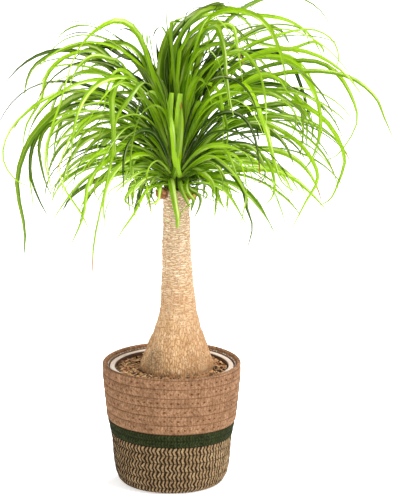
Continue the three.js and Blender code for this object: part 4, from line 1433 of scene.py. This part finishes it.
def head_leaves(head, number, settings, rng):
    """Every leaf of a head as a dictionary of its path, direction, width, turn, tip and tone."""
    leaves = []
    name = head["name"]
    back = name in BACK_HEADS
    slim = SLIM_SHARE if name == "leaf_head_back_left" else 0

    def grow(path, facing, width, turn, tip=POINTED, tone=0.0):
        most = 1 if tone >= BRIGHT else TONE_MOST
        middle = TONE_MIDDLE + tone + HEAD_LIGHT_AND_SHADE[name]
        leaves.append({
            "path": path, "facing": facing, "width": width, "turn": turn, "tip": tip,
            "wave": 0 if turn == 0 else rng.uniform(10, 46), "phase": rng.random(),
            "tone": min(most, max(0, rng.gauss(middle, TONE_SPREAD))),
            "dry": 1.0 if turn != 0 and rng.random() < DRY_SHARE else 0.0,
        })

    for facing, width, turn, points in head["leaves"]:
        # Upright leaves are set bright, so they turn lime, standing in for light shining through
        # them
        upright = turn == 0 and points[-1][1] > points[0][1]
        grow(named_path(head, facing, points), facing * DEG,
             width * (UPRIGHT_WIDTH if upright else settings.width), turn,
             BROAD if upright else BLUNT if turn == 0 else POINTED, 0.6 if upright else 0.1)
    for facing, width, turn, points, *tone in MORE_LEAVES[name]:
        grow(named_path(head, facing, points), facing * DEG, width * settings.width, turn,
             tone=sum(tone))
    draw = repeatable(1000 + 77 * number)
    foot = head_foot(head)
    for place in range(head["fillers"]):
        order = place / (head["fillers"] - 1)
        facing = between(*head["spread"], (place * GOLDEN) % 1) * DEG
        rise = between(84, 18, order) + 12 * (next(draw) - 0.5)
        length = head["vigour"] * between(430, 250, order) * between(0.72, 1.08, next(draw))
        fall = between(165, 95, order) * between(0.8, 1.1, next(draw))
        width = between(4.5, 8, next(draw))
        turn = between(-70, 70, next(draw))
        drift = DRIFT * between(-1, 1, next(draw)) * DEG
        start = root_point(foot, facing, 1 - order)
        path = arched_path(start, facing, rise, fall, length, drift)
        grow(wavering(path, facing, settings.waver, rng), facing,
             width * rng.choice((0.5, 0.8, 1.05, 1.2)) * (SLIM_WIDTH if order < slim else 1), turn,
             tone=-0.06)
    for place in range(settings.extra * (2 if back else 1)):
        order = rng.uniform(0 if back else 0.35, 1)
        facing = (head["facing"] + rng.uniform(-EXTRA_SPREAD, EXTRA_SPREAD)) * DEG
        if abs(math.cos(facing)) < FRONT_GAP and math.sin(facing) < 0:
            continue
        rise = between(86, 5, order) + rng.uniform(-10, 10)
        length = (head["vigour"] * between(340 if back else 260, 110, order)
                  * rng.uniform(0.6, 1.0))
        fall = between(145, 125, order) * rng.uniform(0.8, 1.2)
        start = root_point(foot, facing, 1 - order + rng.uniform(-0.1, 0.1))
        drift = rng.uniform(-75, 75) * DEG
        path = arched_path(start, facing, rise, fall, length, drift)
        grow(wavering(path, facing, 2 * settings.waver, rng), facing,
             rng.choice((2, 4.5, 6, 7, 8.5)), rng.uniform(-80, 80), tone=0.1)
    return leaves


def blade_roll(leaf, shares):
    """How far a blade has turned about its length. Blades that go sideways turn their face."""
    turn = leaf["turn"]
    if turn == 0:
        return shares * 0
    full = math.copysign(0.4 * abs(turn) + 58 * abs(math.cos(leaf["facing"])), turn)
    rising = np.clip(shares / 0.5, 0, 1)
    wave = np.sin(2 * math.pi * (1.25 * shares + leaf["phase"])) * rising
    return full * rising ** 2 * (3 - 2 * rising) + leaf["wave"] * wave


def blade_points(pattern, leaf):
    """The pattern's points laid along one leaf's path."""
    ahead, across, depth, _ = pattern
    path, facing, width, tip = leaf["path"], leaf["facing"], leaf["width"], leaf["tip"]
    spots = np.array(path)
    ways = np.gradient(spots, axis=0)
    ways /= np.linalg.norm(ways, axis=1)[:, None]
    shares = np.linspace(0, 1, len(path))
    side = np.tile([-math.sin(facing), math.cos(facing), 0.0], (len(path), 1))
    side -= ways * np.sum(side * ways, axis=1)[:, None]
    side /= np.linalg.norm(side, axis=1)[:, None]
    up = np.cross(ways, side)
    roll = (blade_roll(leaf, shares) * DEG)[:, None]
    side, up = side * np.cos(roll) + up * np.sin(roll), up * np.cos(roll) - side * np.sin(roll)
    growth = 0.6 + 0.4 * np.clip(shares * 2.6, 0, 1)
    taper = 1 - (1 - tip) * shares ** 3
    half = 0.5 * width * growth * taper
    at = np.rint(ahead * FINE_STEPS).astype(int)
    channel = -0.12 * np.minimum(width, 7) * taper
    keel = channel - 0.6 * (1 - 0.5 * shares)
    low = np.where(depth > 0, channel[at], np.where(depth < 0, keel[at], 0.0))
    return (spots[at] + side[at] * (half[at] * across)[:, None] + up[at] * low[:, None])


def laid_blades(name, pattern, blades, labels):
    """Blades laid along their paths, as one piece that carries a value of each under its label."""
    ahead, _, _, faces = pattern
    vertices, polygons = [], []
    values = {label: [] for label in labels}
    for place, blade in enumerate(blades):
        vertices.append(blade_points(pattern, blade))
        polygons += shifted(faces, place * len(ahead))
        for label in labels:
            values[label] += [blade[label.lower()]] * len(ahead)
    return joined(name, np.vstack(vertices), polygons, values)


def make_leaf_heads(settings):
    finish = leaf_material(settings)
    pattern = leaf_pattern()
    rng = random.Random(CROWN_SEED)
    for number, head in enumerate(HEADS):
        leaves = head_leaves(head, number, settings, rng)
        obj = laid_blades(head["name"].replace("leaf_head", "leaves"), pattern, leaves,
                          ("Tone", "Dry"))
        blade_map(obj, pattern, len(leaves))
        turn_outward(obj)
        smooth(obj, 42)
        finished(obj, finish, [head["name"]])
    make_buds(finish)


def blade_map(obj, pattern, count):
    """Map whose X runs across a blade and whose Y runs along it."""
    ahead, across, _, _ = pattern
    vertex, _ = corner_points(obj.data)
    values = np.column_stack([0.5 + 0.5 * across, ahead])
    give_map(obj, "Blade", np.tile(values, (count, 1))[vertex])


def turn_outward(obj):
    only(obj)
    bpy.ops.object.mode_set(mode="EDIT")
    bpy.ops.mesh.select_all(action="SELECT")
    bpy.ops.mesh.normals_make_consistent(inside=False)
    bpy.ops.object.mode_set(mode="OBJECT")


def make_buds(finish):
    """The slim bud in the middle of each head and one between them all."""
    feet = [(head["name"].replace("leaf_head", "bud"), head_foot(head)) for head in HEADS]
    middle = Vector((TRUNK_X, 0, TRUNK_TOP + GAP))
    for name, foot in [*feet, ("bud_middle", middle)]:
        section = [[0, foot.z], [4.2, foot.z], [5, foot.z + 3], [5, foot.z + 9], [4.6, 425],
                   [3.6, HEAD_TOP - 6], [1.6, HEAD_TOP - 1], [0, HEAD_TOP]]
        obj = spun(name, section, 14, on_axis=True)
        points = points_of(obj)
        angle = np.arctan2(points[:, 1], points[:, 0])
        points[:, :2] *= (1 + 0.12 * np.cos(3 * angle + points[:, 2] / 9))[:, None]
        points[:, 0] += foot.x
        points[:, 1] += foot.y
        move_points(obj, points)
        vertex, _ = corner_points(obj.data)
        rows = np.column_stack([0.5 + angle / 7, (points[:, 2] - foot.z) / 260])
        give_map(obj, "Blade", rows[vertex])
        for label, value in (("Tone", 0.4), ("Dry", 0.0)):
            give_values(obj.data, label, np.full(len(points), value))
        smooth(obj, 60)
        finished(obj, finish, [])


def stub_placed(points, heading, foot):
    """Points of a stub that stands upright at the origin, tilted outward and put in place."""
    tilt = CUT_TILT * DEG
    x = points[:, 0] * math.cos(tilt) + points[:, 2] * math.sin(tilt)
    z = points[:, 2] * math.cos(tilt) - points[:, 0] * math.sin(tilt)
    y = points[:, 1]
    return np.column_stack([x * math.cos(heading) - y * math.sin(heading) + foot.x,
                            x * math.sin(heading) + y * math.cos(heading) + foot.y,
                            z + foot.z])


def make_cut_shoots(settings):
    """Dry stubs of shoots that were cut off: a knob wrapped in ragged, overlapping leaf bases."""
    pattern = leaf_pattern()
    rng = random.Random(STUB_SEED)
    sides = (("left", 205, settings.shoot_left), ("right", 332, settings.shoot_right))
    for name, facing, color in sides:
        heading = facing * DEG
        foot = Vector((TRUNK_X + CUT_RING * math.cos(heading), CUT_RING * math.sin(heading),
                       CUT_FOOT))
        section = [[0, 0], [3.2, 0.6], [4.6, 1.6], [6.2, 4.2], [6.4, 6], [5.8, 9], [4.4, 11.2],
                   [2.6, 12.2], [0, 12.5]]
        obj = spun("stub_" + name, section, 22, on_axis=True)
        points = points_of(obj)
        points[:, :2] *= (0.96 + 0.1 * bumps(points, 2.2, facing))[:, None]
        move_points(obj, stub_placed(points, heading, foot))
        finish = grain_material("dry_shoot_" + name, color, settings.shoot_dark,
                                settings.shoot_dark, 300.0, 900.0)
        give_values(obj.data, "Tone", np.full(len(points), 0.3))
        smooth(obj, 50)
        finished(obj, finish, ["cut_shoot_" + name])
        blades = []
        for number in range(HUSKS):
            way = (number * GOLDEN) % 1 * 2 * math.pi
            grown = 1 + 0.5 * number / (HUSKS - 1) * rng.random()
            low = 4.5 * number / (HUSKS - 1)
            out = [Vector((radius * math.cos(way), radius * math.sin(way), height))
                   for radius, height in ((4.6, low), (6.7, low + 3), (6.9, low + 5.5 * grown),
                                          (5.4, low + 8.5 * grown))]
            path = spline([Vector(spot) for spot in
                           stub_placed(np.array(out), heading, foot)], FINE_STEPS)
            blades.append({"path": path, "facing": heading + way, "width": rng.uniform(4, 7),
                           "turn": 0, "tip": rng.uniform(0.1, 0.5), "tone": rng.uniform(0.2, 1)})
        husks = laid_blades("stub_husks_" + name, pattern, blades, ("Tone",))
        turn_outward(husks)
        smooth(husks, 42)
        finished(husks, finish, [])


# Stage

def make_stage(settings):
    deselect()
    bpy.ops.mesh.primitive_plane_add(size=40)
    floor = bpy.context.object
    floor.name = "studio_floor"
    material, tree, _ = new_material("studio_floor")
    lit = surface(tree, settings.floor, 0.9, Specular_IOR_Level=0.1)
    lit.inputs["Emission Color"].default_value = (1, 1, 1, 1)
    lit.inputs["Emission Strength"].default_value = settings.glow
    put_out(tree, lit)
    floor.data.materials.append(material)

    world = bpy.data.worlds.new("studio")
    bpy.context.scene.world = world
    world.use_nodes = True
    sky = world.node_tree.nodes["Background"]
    sky.inputs["Color"].default_value = (1, 1, 1, 1)
    sky.inputs["Strength"].default_value = settings.sky

    shine = Vector((-0.62, 0.48, -0.85)).to_track_quat("-Z", "Y").to_euler()
    bpy.ops.object.light_add(type="SUN", rotation=shine)
    key = bpy.context.object
    key.name = "key_light"
    key.data.energy = settings.key
    key.data.angle = 24 * DEG
    bpy.ops.object.light_add(type="SUN", rotation=(-18 * DEG, 6 * DEG, 0))
    top = bpy.context.object
    top.name = "top_light"
    top.data.energy = settings.top
    top.data.angle = 14 * DEG

    bpy.ops.object.camera_add(location=settings.eye,
                              rotation=((90 - settings.pitch) * DEG, 0, 0))
    camera = bpy.context.object
    camera.data.sensor_fit = "HORIZONTAL"
    camera.data.sensor_width = 36
    camera.data.lens = settings.lens
    camera.data.clip_end = 100
    bpy.context.scene.camera = camera
    bpy.context.scene.view_settings.view_transform = "Standard"


# Settings, operators and panel

def color_property(name, description, default):
    return FloatVectorProperty(name=name, description=description, default=default,
                               subtype="COLOR", size=4, min=0, max=1)


class PlantBasketSettings(bpy.types.PropertyGroup):
    plain_strands: IntProperty(name="Plain strands", default=126, min=60, max=240,
                               description="Strands round a row of the tan and the green braid")
    pattern_strands: IntProperty(name="Pattern strands", default=93, min=30, max=120,
                                 description="Pale strands round a row of the two-tone braid")
    tan: color_property("Tan", "Raised strands of the tan braid", srgb(173, 135, 105))
    # The colours in the weave are painted shade between the strands
    tan_dark: color_property("Tan in the weave", "Between the tan strands", srgb(155, 118, 89))
    # The seams are dark thread, with painted shade in the grooves between rows
    seam: color_property("Seams", "Thread and shade between tan rows", srgb(84, 52, 32))
    green: color_property("Green", "Raised strands of the green braid", srgb(58, 68, 36))
    green_dark: color_property("Green in the weave", "Between green strands", srgb(36, 42, 20))
    green_seam: color_property("Green seams", "Shade between green rows", srgb(16, 20, 10))
    pale: color_property("Pale strand", "Pale strand of the two-tone braid", srgb(173, 147, 112))
    dark: color_property("Dark strand", "Dark strand of the two-tone braid", srgb(50, 38, 22))


class PlantPotSettings(bpy.types.PropertyGroup):
    film: color_property("Film", "Liner film", srgb(150, 116, 88))
    film_stain: color_property("Film stain", "Darker film", srgb(124, 92, 66))
    thread: color_property("Thread", "Thread that holds the liner", srgb(246, 236, 218))
    pot: color_property("Pot", "Nursery pot", srgb(220, 206, 194))
    pot_stain: color_property("Pot stain", "Dust on the nursery pot", srgb(196, 176, 160))
    soil: color_property("Soil", "Coir and bark in the shade", srgb(146, 112, 72))
    # The pot's inner wall below the rim is painted in this soil brown as its shade
    pot_wall_shade: color_property("Pot soil", "Soil on the pot's inner wall", srgb(96, 70, 50))
    soil_dark: color_property("Dark soil", "Gaps in the soil", srgb(66, 48, 34))
    chip: color_property("Bark chip", "Light bark chips", srgb(216, 170, 120))
    straw: color_property("Straw", "Straw on the soil", srgb(250, 222, 176))
    bark: color_property("Red bark", "Strips of reddish bark on the soil", srgb(182, 122, 84))
    chips: IntProperty(name="Chips", description="Bark chips on the soil", default=820, min=0)
    straws: IntProperty(name="Straws", description="Bits of straw on the soil", default=300, min=0)


class PlantTrunkSettings(bpy.types.PropertyGroup):
    relief: FloatProperty(name="Bark relief", default=0.9, min=0, max=3,
                          description="Depth of the cracks and ring scars, in millimetres")
    high: color_property("Neck", "Cork on the neck", srgb(255, 244, 222))
    low: color_property("Swollen base", "Cork on the swollen base", srgb(255, 222, 180))
    crack: color_property("Cracks", "In the cracks of the cork", srgb(166, 116, 76))
    stain: color_property("Stain", "Grey stains and soil on the cork", srgb(104, 92, 74))


class PlantCrownSettings(bpy.types.PropertyGroup):
    extra: IntProperty(name="More leaves", description="Short leaves added to each head",
                       default=15, min=0, max=200)
    width: FloatProperty(name="Leaf width", description="Width beside the part's leaves",
                         default=1.1, min=0.3, max=2)
    # Painted shade on the leaves near the stem
    core: FloatProperty(name="Core", description="How much darker the leaves are near the stem",
                        default=0.72, min=0, max=1, subtype="FACTOR")
    waver: FloatProperty(name="Waver", description="Sideways waver of the leaves, in millimetres",
                         default=6, min=0, max=20)
    # Lime of young leaves, brightened as painted light shining through them
    lime_and_glow: color_property("Lime", "Youngest leaves", srgb(206, 250, 44))
    fresh: color_property("Fresh green", "Young leaves", srgb(192, 232, 18))
    deep: color_property("Deep green", "Older leaves", srgb(46, 82, 0))
    # Colour of the painted highlights along the blades and towards their ends
    painted_highlight: color_property("Gloss", "Pale shine along the blades", srgb(238, 250, 172))
    foot: color_property("Foot", "Pale foot and midrib", srgb(196, 214, 116))
    dry: color_property("Dry tip", "Dry tips", srgb(190, 120, 60))
    shoot_left: color_property("Left stub", "Cut shoot on the left", srgb(222, 160, 118))
    shoot_right: color_property("Right stub", "Cut shoot on the right", srgb(206, 176, 84))
    shoot_dark: color_property("Stub shade", "Dark parts of the stubs", srgb(120, 72, 44))


class PlantStageSettings(bpy.types.PropertyGroup):
    floor: color_property("Floor", "Studio floor", (0.9, 0.9, 0.9, 1))
    glow: FloatProperty(name="Floor glow", description="Light that comes through the floor",
                        default=0.55, min=0)
    sky: FloatProperty(name="Soft light", description="Light from all round", default=0.66, min=0)
    key: FloatProperty(name="Key light", description="Soft sun from the right", default=2.3, min=0)
    top: FloatProperty(name="Top light", description="Sun from above and behind", default=2.3,
                       min=0)
    eye: FloatVectorProperty(name="Camera", description="Where the camera stands", size=3,
                             default=(0.0368, -3.2, 1.017), subtype="TRANSLATION",
                             unit="LENGTH")
    pitch: FloatProperty(name="Pitch", description="How far the camera looks down, in degrees",
                         default=12.43)
    lens: FloatProperty(name="Lens", description="Focal length in millimetres", default=229.59)


SETTINGS = (
    (PlantBasketSettings, "plant_basket"), (PlantPotSettings, "plant_pot"),
    (PlantTrunkSettings, "plant_trunk"), (PlantCrownSettings, "plant_crown"),
    (PlantStageSettings, "plant_stage"),
)


class PLANT_OT_basket(bpy.types.Operator):
    """Three colours of braid, sewn as one rising coil"""
    bl_idname = "plant.basket"
    bl_label = "Basket"

    def execute(self, context):
        make_basket(context.scene.plant_basket)
        return {"FINISHED"}


class PLANT_OT_liner(bpy.types.Operator):
    """Film liner and the thread that holds it"""
    bl_idname = "plant.liner"
    bl_label = "Liner"

    def execute(self, context):
        make_liner(context.scene.plant_pot)
        return {"FINISHED"}


class PLANT_OT_nursery_pot(bpy.types.Operator):
    """Nursery pot with its wide rim"""
    bl_idname = "plant.nursery_pot"
    bl_label = "Nursery pot"

    def execute(self, context):
        make_nursery_pot(context.scene.plant_pot)
        return {"FINISHED"}


class PLANT_OT_soil(bpy.types.Operator):
    """Soil with bark chips and straw"""
    bl_idname = "plant.soil"
    bl_label = "Soil"

    def execute(self, context):
        make_soil(context.scene.plant_pot)
        return {"FINISHED"}


class PLANT_OT_trunk(bpy.types.Operator):
    """Trunk with its swollen base"""
    bl_idname = "plant.trunk"
    bl_label = "Trunk"

    def execute(self, context):
        make_trunk(context.scene.plant_trunk)
        return {"FINISHED"}


class PLANT_OT_cut_shoots(bpy.types.Operator):
    """Stubs of cut shoots at the top of the trunk"""
    bl_idname = "plant.cut_shoots"
    bl_label = "Cut shoots"

    def execute(self, context):
        make_cut_shoots(context.scene.plant_crown)
        return {"FINISHED"}


class PLANT_OT_leaf_heads(bpy.types.Operator):
    """Heads of strap leaves"""
    bl_idname = "plant.leaf_heads"
    bl_label = "Leaf heads"

    def execute(self, context):
        make_leaf_heads(context.scene.plant_crown)
        return {"FINISHED"}


class PLANT_OT_stage(bpy.types.Operator):
    """Floor, lights and camera"""
    bl_idname = "plant.stage"
    bl_label = "Stage"

    def execute(self, context):
        make_stage(context.scene.plant_stage)
        return {"FINISHED"}


OPERATORS = (
    PLANT_OT_basket, PLANT_OT_liner, PLANT_OT_nursery_pot, PLANT_OT_soil, PLANT_OT_trunk,
    PLANT_OT_cut_shoots, PLANT_OT_leaf_heads, PLANT_OT_stage,
)


class PLANT_PT_panel(bpy.types.Panel):
    """Lists the pieces and their settings"""
    bl_idname = "PLANT_PT_panel"
    bl_label = "Potted ponytail palm"
    bl_space_type = "VIEW_3D"
    bl_region_type = "UI"
    bl_category = "Plant"

    def draw(self, context):
        for group, name in SETTINGS:
            box = self.layout.box()
            for label in group.__annotations__:
                box.prop(getattr(context.scene, name), label)
        for operator in OPERATORS:
            self.layout.operator(operator.bl_idname)


def register():
    for group, name in SETTINGS:
        bpy.utils.register_class(group)
        setattr(bpy.types.Scene, name, PointerProperty(type=group))
    for operator in OPERATORS:
        bpy.utils.register_class(operator)
    bpy.utils.register_class(PLANT_PT_panel)


def unregister():
    bpy.utils.unregister_class(PLANT_PT_panel)
    for operator in reversed(OPERATORS):
        bpy.utils.unregister_class(operator)
    for group, name in reversed(SETTINGS):
        delattr(bpy.types.Scene, name)
        bpy.utils.unregister_class(group)


def main():
    register()
    mottle_group()
    braid_group()
    bpy.ops.plant.basket()
    bpy.ops.plant.liner()
    bpy.ops.plant.nursery_pot()
    bpy.ops.plant.soil()
    bpy.ops.plant.trunk()
    bpy.ops.plant.cut_shoots()
    bpy.ops.plant.leaf_heads()
    bpy.ops.plant.stage()


if __name__ == "__main__":
    main()
